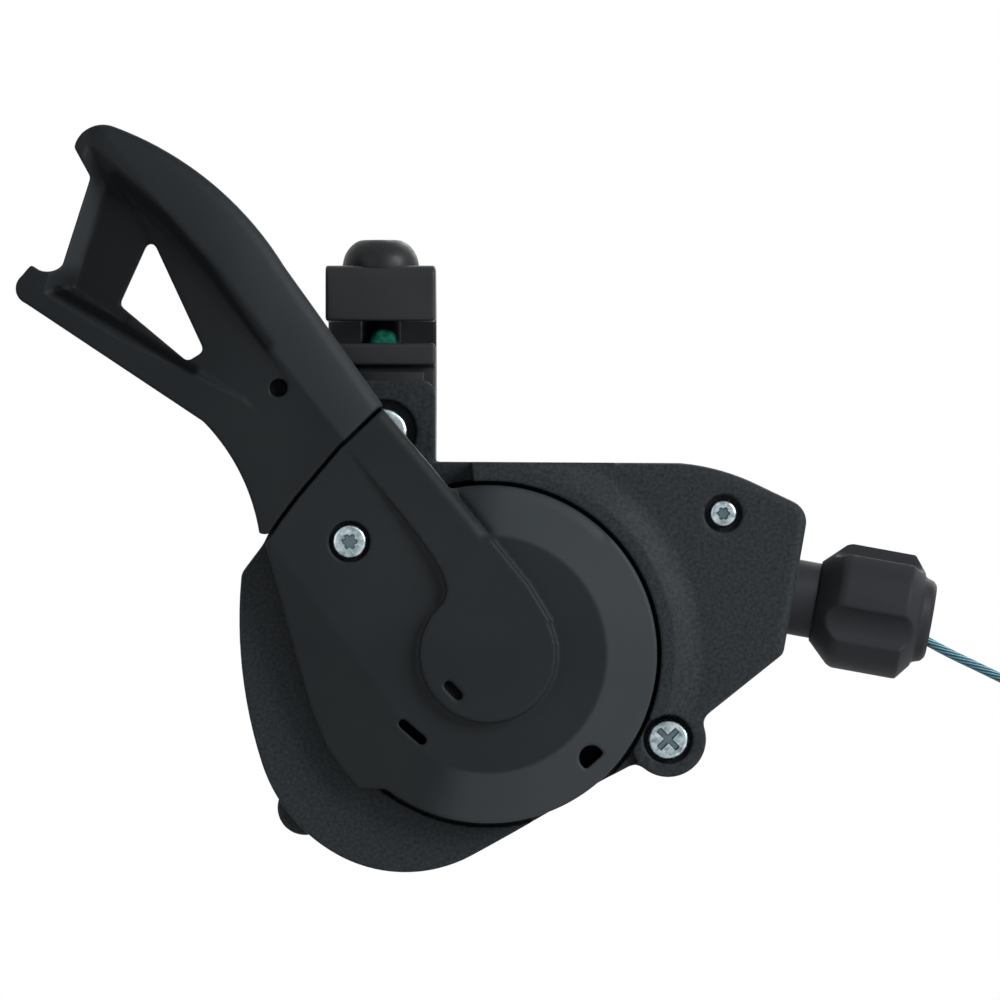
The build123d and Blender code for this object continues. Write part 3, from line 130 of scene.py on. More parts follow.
def coil_points():
    """The coil's turns, from where the tail joins it, clockwise as seen from the front."""
    points = []
    for step in range(1, COIL_TURNS * COIL_STEPS):
        turn = step / COIL_STEPS
        around = radians(COIL_ANGLE) - 2 * pi * turn
        spread = BUNDLE_SPREAD * sqrt(COIL_TURNS + 0.3 - turn)
        within = radians(GOLDEN_ANGLE * turn)
        radius = COIL_R + spread * cos(within)
        level = CABLE_LEVEL + spread * sin(within)
        points.append((COIL_X + radius * cos(around), level, COIL_Z + radius * sin(around)))
    return points


def cable_centreline():
    """The middle of the cable: a NURBS spline with the route's points as its control points."""
    route = [(x, CABLE_LEVEL, z) for x, z in TAIL] + coil_points()
    curve = bpy.data.curves.new("cable_route", "CURVE")
    curve.dimensions = "3D"
    spline = curve.splines.new("NURBS")
    spline.points.add(len(route) - 1)
    for point, (x, level, z) in zip(spline.points, route):
        point.co = (x * MM, -level * MM, z * MM, 1)
    spline.order_u = 3
    spline.use_endpoint_u = True
    spline.resolution_u = 9
    guide = bpy.data.objects.new("cable_route", curve)
    bpy.context.collection.objects.link(guide)
    shape = bpy.data.meshes.new_from_object(guide)
    line = [vertex.co.copy() for vertex in shape.vertices]
    bpy.data.objects.remove(guide)
    bpy.data.meshes.remove(shape)
    return line


centreline = cable_centreline()

# %% [markdown]
# Nine outer wires wind round the cable once in about 13 mm, and they catch the light as
# slanted lines. At this thickness they are drawn by the finish and not by geometry, so the
# tube gets a UV map of its own: one way counts lays of the strand along the cable, by true
# length, and the other goes round it.

# %% The cable's tube
CABLE_SIDES = 10
LAY_LENGTH = 13 * MM


def cable_rings(line):
    """Rings of points round the centreline, each square to it, none turned on its neighbour."""
    rings = []
    for index, middle in enumerate(line):
        ahead = line[min(index + 1, len(line) - 1)]
        behind = line[max(index - 1, 0)]
        along = (ahead - behind).normalized()
        across = Vector((0, 1, 0))
        across = (across - along * along.dot(across)).normalized()
        third = along.cross(across)
        ring = []
        for side in range(CABLE_SIDES):
            turn = 2 * pi * side / CABLE_SIDES
            ring.append(middle + (across * cos(turn) + third * sin(turn)) * CABLE_DIA / 2 * MM)
        rings.append(ring)
    return rings


def add_cable(line):
    """The free cable as a closed tube, on the adjuster's body."""
    rings = cable_rings(line)
    points = [point for ring in rings for point in ring]
    faces = []
    for ring in range(len(rings) - 1):
        low, high = ring * CABLE_SIDES, (ring + 1) * CABLE_SIDES
        for side in range(CABLE_SIDES):
            after = (side + 1) % CABLE_SIDES
            faces.append((low + side, low + after, high + after, high + side))
    faces.append(tuple(reversed(range(CABLE_SIDES))))
    faces.append(tuple(range(len(points) - CABLE_SIDES, len(points))))
    mesh = bpy.data.meshes.new("free_cable")
    mesh.from_pydata(points, [], faces)
    lays = [0.0]
    for a, b in zip(line, line[1:]):
        lays.append(lays[-1] + (b - a).length / LAY_LENGTH)
    strands = mesh.uv_layers.new(name="strands")
    for face in mesh.polygons[:-2]:
        ring, side = divmod(face.index, CABLE_SIDES)
        corners = ((ring, side), (ring, side + 1), (ring + 1, side + 1), (ring + 1, side))
        for loop, (at_ring, at_side) in zip(face.loop_indices, corners):
            strands.data[loop].uv = (lays[at_ring], at_side / CABLE_SIDES)
        face.use_smooth = True
    cable = bpy.data.objects.new("free_cable", mesh)
    bpy.context.collection.objects.link(cable)
    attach(cable, "adjuster_slide")
    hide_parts("cable_tail", "cable_coil")
    return cable


free_cable = add_cable(centreline)
print("cable faces", len(free_cable.data.polygons))

# %% [markdown]
# A moulded or cast edge is never sharp: it has a small round that catches a line of light,
# and in the photograph those lines draw the whole shape. The CAD solids have sharp corners
# where a round would cost many faces, so the visible ones are copied, their loose triangles
# are joined, and a Bevel modifier rounds every corner sharper than a limit.

# %% Softened copies of the CAD pieces
SAME_PLACE = 0.002 * MM
SAME_FACE = radians(0.6)
CORNER_ANGLE = radians(30)
SMOOTH_ANGLE = radians(35)

BODY_OF = {}
for body_name, node_names in frame["record"]["behaviour"]["bodies"].items():
    for node_name in node_names:
        BODY_OF[node_name] = body_name


def select_only(piece):
    """Make one object the active and only selected one."""
    bpy.ops.object.select_all(action="DESELECT")
    piece.select_set(True)
    bpy.context.view_layer.objects.active = piece


def copied(name, ending, flatten=False):
    """A copy of a CAD node with its doubled corners joined, and its flat faces too if asked."""
    source = frame["nodes"][name]
    piece = bpy.data.objects.new(name + ending, source.data.copy())
    bpy.context.collection.objects.link(piece)
    piece.data.materials.clear()
    select_only(piece)
    bpy.ops.object.mode_set(mode="EDIT")
    bpy.ops.mesh.select_all(action="SELECT")
    bpy.ops.mesh.remove_doubles(threshold=SAME_PLACE)
    if flatten:
        bpy.ops.mesh.dissolve_limited(angle_limit=SAME_FACE)
    bpy.ops.mesh.customdata_custom_splitnormals_clear()
    bpy.ops.object.mode_set(mode="OBJECT")
    return piece


def softened(name, edge, steps=2):
    """A copy of a CAD node with rounds of that width, in mm, on its corners."""
    piece = copied(name, "_finished", flatten=True)
    rounding = piece.modifiers.new("edge_round", "BEVEL")
    rounding.width = edge * MM
    rounding.segments = steps
    rounding.limit_method = "ANGLE"
    rounding.angle_limit = CORNER_ANGLE
    rounding.use_clamp_overlap = False
    rounding.miter_outer = "MITER_ARC"
    bpy.ops.object.modifier_apply(modifier=rounding.name)
    bpy.ops.object.shade_smooth_by_angle(angle=SMOOTH_ANGLE)
    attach(piece, BODY_OF[name])
    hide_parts(name)
    return piece


EDGE_ROUNDS = {
    "adjuster_seat": 0.3, "clamp_bolt": 0.3, "base_plate": 0.15, "lever_plate": 0.12,
    "detent_ring": 0.15, "winding_drum": 0.2,
}
SMALL_PIECES = [
    "bracket_screw", "cover_screw_small", "cover_screw_large", "rear_screw",
    "lever_cap_screw", "axle_nut", "axle_washer", "main_axle", "adjuster_bolt",
]
SMALL_ROUND = 0.08
finished = {name: softened(name, edge) for name, edge in EDGE_ROUNDS.items()}
finished.update({name: softened(name, SMALL_ROUND, steps=1) for name in SMALL_PIECES})

# %% [markdown]
# The big mouldings and the cast clamp have ribs, steps, slots and grooves that run into
# each other, and a bevel tears where such corners meet. A fine voxel remesh and a
# few rounds of smoothing wear every corner down by the same small amount, as a polished
# mould does, whatever meets there.

# %% Moulded copies of the lever, the shells, the clamp and the knob
MOULDS = {
    "lever_arm": (0.25, 6), "lever_cap": (0.23, 3), "bottom_cover": (0.25, 3),
    "top_cover": (0.33, 2), "clamp_band": (0.24, 3), "adjuster_knob": (0.19, 4),
}


def moulded(name, voxel, rounds):
    """A copy of a CAD node as one even skin, with voxels of that size in mm, smoothed."""
    piece = copied(name, "_moulded")
    skin = piece.modifiers.new("even_skin", "REMESH")
    skin.mode = "VOXEL"
    skin.voxel_size = voxel * MM
    bpy.ops.object.modifier_apply(modifier=skin.name)
    wear = piece.modifiers.new("worn_corners", "SMOOTH")
    wear.factor = 0.5
    wear.iterations = rounds
    bpy.ops.object.modifier_apply(modifier=wear.name)
    bpy.ops.object.shade_smooth()
    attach(piece, BODY_OF[name])
    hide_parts(name)
    return piece


for name, (voxel, rounds) in MOULDS.items():
    finished[name] = moulded(name, voxel, rounds)
for name, piece in finished.items():
    print(name, len(piece.data.polygons), "faces")

# %% [markdown]
# The knob's coned end reaches back over the neck like a thin skirt, so that no bright metal
# shows between them. A ring of its own would leave a seam, so the skirt is drawn out of the
# knob's own back rim, outside the neck. The bolt's forged head leans inwards and is a little
# domed, which the same loop over the vertices makes out of the plain turned head.

# %% The knob's skirt and the bolt's head
BARREL_START = Vector((51.4, -19.0, -27.45)) * MM
BARREL_SLOPE = radians(10.3)
BARREL_WAY = Vector((cos(BARREL_SLOPE), 0, -sin(BARREL_SLOPE)))
NECK_OUTSIDE = (4.8 * MM, 5.0 * MM)
SKIRT_DEPTH = 1.25 * MM
SKIRT_FADE = (7 * MM, 13 * MM)
END_PUSH = 0.5 * MM
END_STARTS = (10 * MM, 14 * MM)
END_STOPS = (16 * MM, 17.5 * MM)
END_OUTSIDE = (5 * MM, 6 * MM)

BOLT_SHOULDER = 13.4 * MM
BOLT_TOP = 17.1 * MM
BOLT_LEVEL = 15.8 * MM
BOLT_R = 4.95 * MM
BOLT_LEAN = 0.14
BOLT_DOME = 0.3 * MM


def ramp(value, start, end):
    """0 before the start, 1 after the end, and a soft step between them."""
    share = min(max((value - start) / (end - start), 0), 1)
    return share * share * (3 - 2 * share)


def draw_skirt(knob):
    """Pull the outside of the knob's left end back along the barrel, and its right end out."""
    for vertex in knob.data.vertices:
        arm = vertex.co - BARREL_START
        along = arm.dot(BARREL_WAY)
        reach = (arm - BARREL_WAY * along).length
        back = (1 - ramp(along, *SKIRT_FADE)) * ramp(reach, *NECK_OUTSIDE)
        right = ramp(along, *END_STARTS) * (1 - ramp(along, *END_STOPS))
        push = END_PUSH * right * ramp(reach, *END_OUTSIDE)
        vertex.co += BARREL_WAY * (push - SKIRT_DEPTH * back)
    knob.data.update()


def dome_bolt(bolt):
    """Lean the sides of the bolt's head inwards and raise its middle, as a forged head is."""
    for vertex in bolt.data.vertices:
        height = (vertex.co.z - BOLT_SHOULDER) / (BOLT_TOP - BOLT_SHOULDER)
        if height > 0:
            across, depth = vertex.co.x, vertex.co.y + BOLT_LEVEL
            reach = sqrt(across * across + depth * depth)
            lean = 1 - BOLT_LEAN * height
            vertex.co.x = across * lean
            vertex.co.y = depth * lean - BOLT_LEVEL
            vertex.co.z += BOLT_DOME * height * max(1 - (reach / BOLT_R) ** 2, 0)
    bolt.data.update()


draw_skirt(finished["adjuster_knob"])
dome_bolt(finished["clamp_bolt"])
print("the knob's skirt reaches back", round(SKIRT_DEPTH / MM, 2), "mm")

# %% [markdown]
# The arm's upper flange and the bar of the cap aren't flat: they roll over towards the
# right, to be kind to the thumb. A sculpting brush could press them down, but a formula gives
# the same form on each run: the front sinks most at the edge, and less inwards and downwards.
# The wall is found first, because writing a vertex's place makes its normal out of date.

# %% The rolled edges
LEVER_FACE = 32.5 * MM
ROLL_BASE = 28.3 * MM
WALL_LEVEL = 28 * MM
UP_RIGHT = Vector((0.719, 0, 0.695)).normalized()
STEEP = 0.4
FACING = 0.3


def outer_wall(piece, least, lowest):
    """The upper right side wall of a piece, as places on its face."""
    wall = []
    for vertex in piece.data.vertices:
        steep = abs(vertex.normal.y) < STEEP and vertex.normal.dot(UP_RIGHT) > FACING
        outer = vertex.co.dot(UP_RIGHT) > least * MM and vertex.co.z > lowest * MM
        if steep and outer and -vertex.co.y > WALL_LEVEL:
            wall.append(Vector((vertex.co.x, 0, vertex.co.z)))
    return wall


def roll_edge(piece, least, lowest, width, drop):
    """Sink the front of a piece near its outer wall, with the width and the drop in mm."""
    wall = outer_wall(piece, least, lowest)
    near = KDTree(len(wall))
    for index, place in enumerate(wall):
        near.insert(place, index)
    near.balance()
    deepest = 0.0
    for vertex in piece.data.vertices:
        height = min((-vertex.co.y - ROLL_BASE) / (LEVER_FACE - ROLL_BASE), 1)
        if height > 0:
            distance = near.find((vertex.co.x, 0, vertex.co.z))[2]
            share = max(1 - distance / (width * MM), 0)
            vertex.co.y += drop * MM * share * share * height
            deepest = max(deepest, drop * share * share * height)
    piece.data.update()
    print(piece.name, "rolled by up to", round(deepest, 2), "mm")


ROLLS = [
    ("lever_arm", -4.5, -30, 6.0, 1.1),
    ("lever_arm", -4.5, -30, 1.5, 0.6),
    ("lever_cap", -5.5, -19.5, 1.5, 0.7),
]
for name, least, lowest, width, drop in ROLLS:
    roll_edge(finished[name], least, lowest, width, drop)

# %% [markdown]
# The joint between arm and cap is black all along. At its upper end, which the arm's tongue
# doesn't reach, a small step under the cap's edge hides the bright screw behind it. It is a
# plain box, since nothing but its front is ever seen, and painted shade makes that front black.

# %% The step under the joint
STEP_MIDDLE = (-1.55 * MM, -28.8 * MM, -5.35 * MM)
STEP_SIZE = (4.3 * MM, 1.2 * MM, 1.5 * MM)
STEP_TURN = radians(-43.4)


def add_joint_step():
    """The arm's step under the cap's edge."""
    bpy.ops.object.select_all(action="DESELECT")
    bpy.ops.mesh.primitive_cube_add(size=1, location=STEP_MIDDLE, rotation=(0, STEP_TURN, 0))
    step = bpy.context.object
    step.name = "joint_step"
    step.scale = STEP_SIZE
    bpy.ops.object.transform_apply(location=True, rotation=True, scale=True)
    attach(step, "lever")
    print("joint step", [round(length / MM, 1) for length in step.dimensions], "mm")
    return step


joint_step = add_joint_step()

# %% [markdown]
# Some looks change over a single piece. An image texture could show that, but a painted
# attribute follows the mesh, needs no unwrapping and stays sharp: one number from 0 to 1 for
# each vertex or face, which the finish reads. A soft step between 0 and 1 keeps its edges
# from looking cut out.

# %% Painted attributes
def paint(piece, name, domain, amounts):
    """Write one number from 0 to 1 for each vertex or face."""
    layer = piece.data.attributes.new(name, "FLOAT", domain)
    layer.data.foreach_set("value", amounts)
    print(piece.name, name, "mean", round(sum(amounts) / len(amounts), 3))


def paint_by_place(name, attribute, amount_of):
    """Paint a finished piece by a function of each vertex's place."""
    places = [vertex.co for vertex in finished[name].data.vertices]
    paint(finished[name], attribute, "POINT", [amount_of(place) for place in places])


def flat_reach(place, x, z):
    """Distance on the face from a spot, all in metres."""
    return sqrt((place.x - x) ** 2 + (place.z - z) ** 2)


# The lever plate, seen through the cap's slots, and the step under the joint get painted shade all
# over.
for piece in (finished["lever_plate"], joint_step):
    paint(piece, "shade", "POINT", [1.0] * len(piece.data.vertices))

# %% [markdown]
# The cap's coned rim gets a painted highlight, paler than the flat face inside it, painted by
# its distance from the axle. The two slots and the D-shaped hole are deep, and hold no light:
# inside them the painted shade goes to black.

# %% The cap's painted highlight on its rim and painted shade in its slots
AXLE_X, AXLE_Z = 13.5 * MM, -34.6 * MM
RIM_INNER = 14.75 * MM
RIM_LEVELS = (30 * MM, 31 * MM)
RIM_MIDDLE = -8
RIM_ENDS = (88, 108)
SLOTS = [((4.1, -44.3), 2.3, 31.6), ((9.2, -39.1), 1.7, 33.8), ((26.4, -47.5), 1.8, 31.2)]
SLOT_EDGE = 0.15


def rim_highlight(place):
    """How much painted highlight a point of the cap gets on its coned rim."""
    reach = flat_reach(place, AXLE_X, AXLE_Z)
    angle = degrees(atan2(place.z - AXLE_Z, place.x - AXLE_X))
    inside = ramp(reach, RIM_INNER - 0.2 * MM, RIM_INNER + 0.4 * MM)
    around = 1 - ramp(abs(angle - RIM_MIDDLE), *RIM_ENDS)
    return inside * around * ramp(-place.y, *RIM_LEVELS)


def slot_shade(place):
    """Painted shade: 1 inside the cap's slots and its D-shaped hole, each with its reach and its
    face's level.
    """
    for (x, z), reach, face in SLOTS:
        if flat_reach(place, x * MM, z * MM) < reach * MM:
            return ramp(-place.y, face * MM, (face - SLOT_EDGE) * MM)
    return 0.0


paint_by_place("lever_cap", "shade", slot_shade)
paint_by_place("lever_cap", "painted_highlight", rim_highlight)

# %% [markdown]
# Between its two flanges the arm has a hollow with a sloping web. Painted shade darkens it
# there, most along its inner corners and in the dimple, and a little everywhere left of the
# band. The band along the upper right side and the strip between the two pads get a painted
# highlight. Each dark line below has its shade, and how far its core and its soft edge reach, in
# mm.

# %% The arm's painted shade and painted highlight
UPPER_CORNER = [(-33.1, 25.0), (-26.75, 19.6), (-20.75, 13.0), (-14.0, 4.0)]
LOWER_CORNER = [(-40.0, 10.7), (-31.0, 5.6), (-23.3, 0.9)]
END_CORNER = [(-33.5, 25.0), (-28.6, 17.4)]
DIMPLE = [(-12.6, -1.4), (-12.6, -1.38)]
DARK_LINES = [
    (UPPER_CORNER, 0.6, 0.3, 1.4), (LOWER_CORNER, 0.85, 0.3, 1.3),
    (END_CORNER, 0.6, 0.15, 0.6), (DIMPLE, 0.95, 1.05, 1.2),
]
HOLLOW_LEVELS = (32.2 * MM, 29.5 * MM)
HOLLOW_END = (-14 * MM, -6 * MM)
HOLLOW_SHADE = 0.3
PLAIN_SHADE = 0.18

BAND_SIDE = Vector((0.789, 0, 0.615))
BAND_EDGE = -8.4
BAND_TOP = (-24 * MM, -12 * MM)
BAND_HIGHLIGHT = 0.42
STRIP_SIDE = Vector((0.953, 0, -0.303))
STRIP_EDGE = -39.8
STRIP_WAY = Vector((0.303, 0, 0.953))
STRIP_STARTS = (-0.5, 2.5)
STRIP_STOPS = (11.0, 14.0)
STRIP_HIGHLIGHT = 0.45
SOFT = 0.3


def near_line(place, line, core, edge):
    """1 within a line's core and 0 beyond its edge, both in mm, on the face."""
    spot = Vector((place.x / MM, place.z / MM))
    distances = []
    for start, end in zip(line, line[1:]):
        a, b = Vector(start), Vector(end)
        share = min(max((spot - a).dot(b - a) / (b - a).length_squared, 0), 1)
        distances.append((spot - a - (b - a) * share).length)
    return 1 - ramp(min(distances), core, edge)


def beyond(place, side, edge):
    """0 before a straight edge in mm, 1 beyond it, and a soft step between."""
    return ramp(place.dot(side) / MM, edge - SOFT, edge + SOFT)


def strip_amount(place):
    """How much a point belongs to the strip between the two pads, left of the hollow."""
    along = place.dot(STRIP_WAY) / MM
    length = ramp(along, *STRIP_STARTS) * (1 - ramp(along, *STRIP_STOPS))
    return (1 - beyond(place, STRIP_SIDE, STRIP_EDGE)) * length


def hollow_shade(place):
    """How much painted shade a point of the arm gets: its hollow, the hollow's inner corners and
    the dimple.
    """
    depth = ramp(-place.y, *HOLLOW_LEVELS) * (1 - ramp(place.x, *HOLLOW_END))
    plain = 1 - beyond(place, BAND_SIDE, BAND_EDGE)
    floor = (HOLLOW_SHADE * depth + PLAIN_SHADE * plain) * (1 - strip_amount(place))
    lines = [shade * near_line(place, line, core, edge) for line, shade, core, edge in DARK_LINES]
    return max(floor, *lines)


def band_highlight(place):
    """How much painted highlight a point of the arm gets: the band along its upper right side, and
    the strip.
    """
    band = beyond(place, BAND_SIDE, BAND_EDGE) * ramp(place.x, *BAND_TOP)
    return max(BAND_HIGHLIGHT * band, STRIP_HIGHLIGHT * strip_amount(place))


paint_by_place("lever_arm", "shade", hollow_shade)
paint_by_place("lever_arm", "painted_highlight", band_highlight)

# %% [markdown]
# The clamp is slit so that its bolt can close it on the bar, and painted shade makes the slit
# black inside. Each small screw has a recess for its driver, darkened with painted shade. A
# recess is told by its faces, which lie behind the front of the head and near the screw's axis.

# %% Painted shade in the clamp's slit and the screws' recesses
SLIT_LOW = (4.2 * MM, 4.5 * MM)
SLIT_HIGH = (6.9 * MM, 7.2 * MM)
EARS_BACK = (9.4 * MM, 10.4 * MM)
EARS_FRONT = (20.6 * MM, 21.3 * MM)
HEAD_FRONT = 0.05 * MM
RECESS_START = 0.1 * MM
RECESS_REACH = {
    "bracket_screw": 1.5, "cover_screw_small": 1.0,
    "cover_screw_large": 1.75, "lever_cap_screw": 1.2,
}


def slit_shade(place):
    """Painted shade: 1 on the walls of the clamp's slit, between its two ears."""
    inside = ramp(place.z, *SLIT_LOW) * (1 - ramp(place.z, *SLIT_HIGH))
    return inside * ramp(-place.y, *EARS_BACK) * (1 - ramp(-place.y, *EARS_FRONT))


def paint_recess_shade(piece, recess_reach):
    """Mark for painted shade a screw's faces that lie behind its head's front and near its axis.
    """
    corners = [vertex.co for vertex in piece.data.vertices]
    front = max(-corner.y for corner in corners)
    head = [corner for corner in corners if -corner.y > front - HEAD_FRONT]
    x = (min(c.x for c in head) + max(c.x for c in head)) / 2
    z = (min(c.z for c in head) + max(c.z for c in head)) / 2
    amounts = []
    for face in piece.data.polygons:
        deep = -face.center.y < front - RECESS_START
        shaded = deep and flat_reach(face.center, x, z) < recess_reach * MM
        amounts.append(1.0 if shaded else 0.0)
    paint(piece, "recess", "FACE", amounts)


paint_by_place("clamp_band", "shade", slit_shade)
for name, reach in RECESS_REACH.items():
    paint_recess_shade(finished[name], reach)

# %% [markdown]
# Every finish starts from one shader and is told apart by its grain. The grain is noise on
# Object coordinates, in metres, so that a scale of 2500 gives lumps about 0.4 mm across. The
# same noise drives colour, roughness and relief, because on a real surface they go together.

# %% Grain
GRAIN_LOW, GRAIN_HIGH = 0.3, 0.7
FINISHES = {}


def start_finish(name, colour, roughness, metallic=0.0, mirror=0.5):
    """A new material and its shader, set to plain values that a finish builds on."""
    finish = bpy.data.materials.new(name)
    finish.use_nodes = True
    nodes = finish.node_tree.nodes
    shader = nodes["Principled BSDF"]
    shader.inputs["Base Color"].default_value = (*colour, 1)
    shader.inputs["Roughness"].default_value = roughness
    shader.inputs["Metallic"].default_value = metallic
    shader.inputs["Specular IOR Level"].default_value = mirror
    return finish, shader


def grain(finish, scale, detail=2.0, stretch=(1, 1, 1)):
    """Noise on the piece's own place in space, and its output."""
    nodes, links = finish.node_tree.nodes, finish.node_tree.links
    place = nodes.new("ShaderNodeTexCoord")
    mapping = nodes.new("ShaderNodeMapping")
    mapping.inputs["Scale"].default_value = stretch
    noise = nodes.new("ShaderNodeTexNoise")
    noise.inputs["Scale"].default_value = scale
    noise.inputs["Detail"].default_value = detail
    links.new(place.outputs["Object"], mapping.inputs["Vector"])
    links.new(mapping.outputs["Vector"], noise.inputs["Vector"])
    return noise.outputs["Fac"]


def spread(finish, source, low, high):
    """A value that swings between two limits with a grain."""
    span = finish.node_tree.nodes.new("ShaderNodeMapRange")
    span.inputs["From Min"].default_value = GRAIN_LOW
    span.inputs["From Max"].default_value = GRAIN_HIGH
    span.inputs["To Min"].default_value = low
    span.inputs["To Max"].default_value = high
    finish.node_tree.links.new(source, span.inputs["Value"])
    return span.outputs["Result"]


def tint(finish, source, dark, light):
    """A colour that swings between two near shades with a grain."""
    shades = finish.node_tree.nodes.new("ShaderNodeValToRGB")
    ends = shades.color_ramp.elements
    ends[0].position, ends[1].position = GRAIN_LOW, GRAIN_HIGH
    ends[0].color, ends[1].color = (*dark, 1), (*light, 1)
    finish.node_tree.links.new(source, shades.inputs["Fac"])
    return shades.outputs["Color"]


def relief(finish, shader, source, height, strength=1.0):
    """A grain raised from the surface by a height in mm."""
    bump = finish.node_tree.nodes.new("ShaderNodeBump")
    bump.inputs["Distance"].default_value = height * MM
    bump.inputs["Strength"].default_value = strength
    finish.node_tree.links.new(source, bump.inputs["Height"])
    finish.node_tree.links.new(bump.outputs["Normal"], shader.inputs["Normal"])


def keep(maker):
    """Make a finish, keep it under its function's name and say what it took."""
    FINISHES[maker.__name__] = maker()
    print(maker.__name__, "has", len(FINISHES[maker.__name__].node_tree.nodes), "nodes")

# %% [markdown]
# A painted attribute reaches a finish through an Attribute node. It mixes two colours, and
# where it stands for shade it also takes the mirror off, or the black would still shine.

# %% Paint in a finish
SHADOW_BLACK = (0.0015, 0.0015, 0.002)
NO_MIRROR = 0.01


def painted(finish, name):
    """The amount of a painted attribute, 0 on pieces that don't carry it."""
    paint_node = finish.node_tree.nodes.new("ShaderNodeAttribute")
    paint_node.attribute_name = name
    return paint_node.outputs["Fac"]


def blend(finish, amount, plain, marked):
    """A mix of two colours, sockets or plain values, by an amount."""
    nodes, links = finish.node_tree.nodes, finish.node_tree.links
    mix = nodes.new("ShaderNodeMix")
    mix.data_type = "RGBA"
    links.new(amount, mix.inputs["Factor"])
    for socket, colour in ((mix.inputs[6], plain), (mix.inputs[7], marked)):
        if isinstance(colour, tuple):
            socket.default_value = (*colour, 1)
        else:
            links.new(colour, socket)
    return mix.outputs[2]


def dull(finish, shader, amount):
    """Take the mirror off the shader by an amount."""
    fade = finish.node_tree.nodes.new("ShaderNodeMapRange")
    fade.inputs["To Min"].default_value = shader.inputs["Specular IOR Level"].default_value
    fade.inputs["To Max"].default_value = NO_MIRROR
    finish.node_tree.links.new(amount, fade.inputs["Value"])
    finish.node_tree.links.new(fade.outputs["Result"], shader.inputs["Specular IOR Level"])


def calculate(tree, operation, *terms):
    """The result of a Math node on sockets or plain numbers."""
    node = tree.nodes.new("ShaderNodeMath")
    node.operation = operation
    for socket, term in zip(node.inputs, terms):
        if isinstance(term, (int, float)):
            socket.default_value = term
        else:
            tree.links.new(term, socket)
    return node.outputs[0]

# %% [markdown]
# The case is nylon from a spark-eroded mould: a fine, even, matt grain, coarse enough to be
# seen as a sparkle of slightly different greys.

# %% The case's plastic
def case_plastic():
    finish, shader = start_finish("case_plastic", (0.014, 0.0165, 0.0185), 0.6, mirror=0.07)
    coarse = grain(finish, 2400, detail=3)
    fine = grain(finish, 160)
    links = finish.node_tree.links
    eroded = tint(finish, coarse, (0.009, 0.011, 0.0125), (0.021, 0.025, 0.028))
    links.new(eroded, shader.inputs["Base Color"])
    links.new(spread(finish, fine, 0.5, 0.62), shader.inputs["Roughness"])
    relief(finish, shader, coarse, 0.03, 0.6)
    return finish


keep(case_plastic)

# %% [markdown]
# The lever and its cap are the same black but from a smoother mould, with a soft satin
# sheen. The knob is a rubbery plastic, a little browner and duller.

# %% The plastics of the lever and the knob
def lever_plastic():
    finish, shader = start_finish("lever_plastic", (0.0115, 0.0135, 0.015), 0.5, mirror=0.07)
    fine = grain(finish, 3500)
    slow = grain(finish, 70)
    links = finish.node_tree.links
    face = tint(finish, slow, (0.0105, 0.0125, 0.014), (0.0125, 0.0145, 0.016))
    # A paler painted highlight for the cap's coned rim and the arm's band and strip, then painted
    # shade to black.
    highlight_colour = tint(finish, slow, (0.0235, 0.0275, 0.0305), (0.0265, 0.031, 0.034))
    highlighted = blend(finish, painted(finish, "painted_highlight"), face, highlight_colour)
    shade = painted(finish, "shade")
    links.new(blend(finish, shade, highlighted, SHADOW_BLACK), shader.inputs["Base Color"])
    dull(finish, shader, shade)
    links.new(spread(finish, slow, 0.44, 0.54), shader.inputs["Roughness"])
    relief(finish, shader, fine, 0.008, 0.5)
    return finish


def knob_plastic():
    finish, shader = start_finish("knob_plastic", (0.0135, 0.0145, 0.016), 0.55, mirror=0.1)
    fine = grain(finish, 3000)
    slow = grain(finish, 110)
    links = finish.node_tree.links
    rubbed = tint(finish, slow, (0.0115, 0.0125, 0.0145), (0.0145, 0.0155, 0.018))
    links.new(rubbed, shader.inputs["Base Color"])
    links.new(spread(finish, slow, 0.5, 0.62), shader.inputs["Roughness"])
    relief(finish, shader, fine, 0.008, 0.5)
    return finish


keep(lever_plastic)
keep(knob_plastic)

# %% [markdown]
# Two plastics are hardly seen: the drum inside the case, and the glossy tie round the coil.

# %% The plastics of the drum and the tie
def drum_plastic():
    finish, shader = start_finish("drum_plastic", (0.03, 0.03, 0.032), 0.45, mirror=0.2)
    slow = grain(finish, 90)
    links = finish.node_tree.links
    dark = tint(finish, slow, (0.004, 0.004, 0.005), (0.007, 0.007, 0.008))
    links.new(dark, shader.inputs["Base Color"])
    links.new(spread(finish, slow, 0.35, 0.48), shader.inputs["Roughness"])
    return finish


def tie_plastic():
    finish, shader = start_finish("tie_plastic", (0.03, 0.03, 0.03), 0.3)
    slow = grain(finish, 400)
    finish.node_tree.links.new(spread(finish, slow, 0.25, 0.4), shader.inputs["Roughness"])
    relief(finish, shader, slow, 0.01, 0.4)
    return finish


keep(drum_plastic)
keep(tie_plastic)

# %% [markdown]
# The clamp is anodised aluminium, a hard black skin over a blasted surface. The skin is a
# dye in glass-like oxide, so it is made as a dark dielectric and not as a metal.

# %% The clamp's aluminium
def black_aluminium():
    finish, shader = start_finish("black_aluminium", (0.01, 0.011, 0.0125), 0.4, mirror=0.16)
    blasted = grain(finish, 3200)
    slow = grain(finish, 120)
    links = finish.node_tree.links
    anodised = tint(finish, slow, (0.0105, 0.012, 0.0135), (0.0135, 0.0155, 0.0175))
    # The shade attribute is painted shade, black in the clamp's slit.
    shade = painted(finish, "shade")
    links.new(blend(finish, shade, anodised, SHADOW_BLACK), shader.inputs["Base Color"])
    dull(finish, shader, shade)
    links.new(spread(finish, slow, 0.34, 0.46), shader.inputs["Roughness"])
    relief(finish, shader, blasted, 0.006, 0.6)
    return finish


keep(black_aluminium)

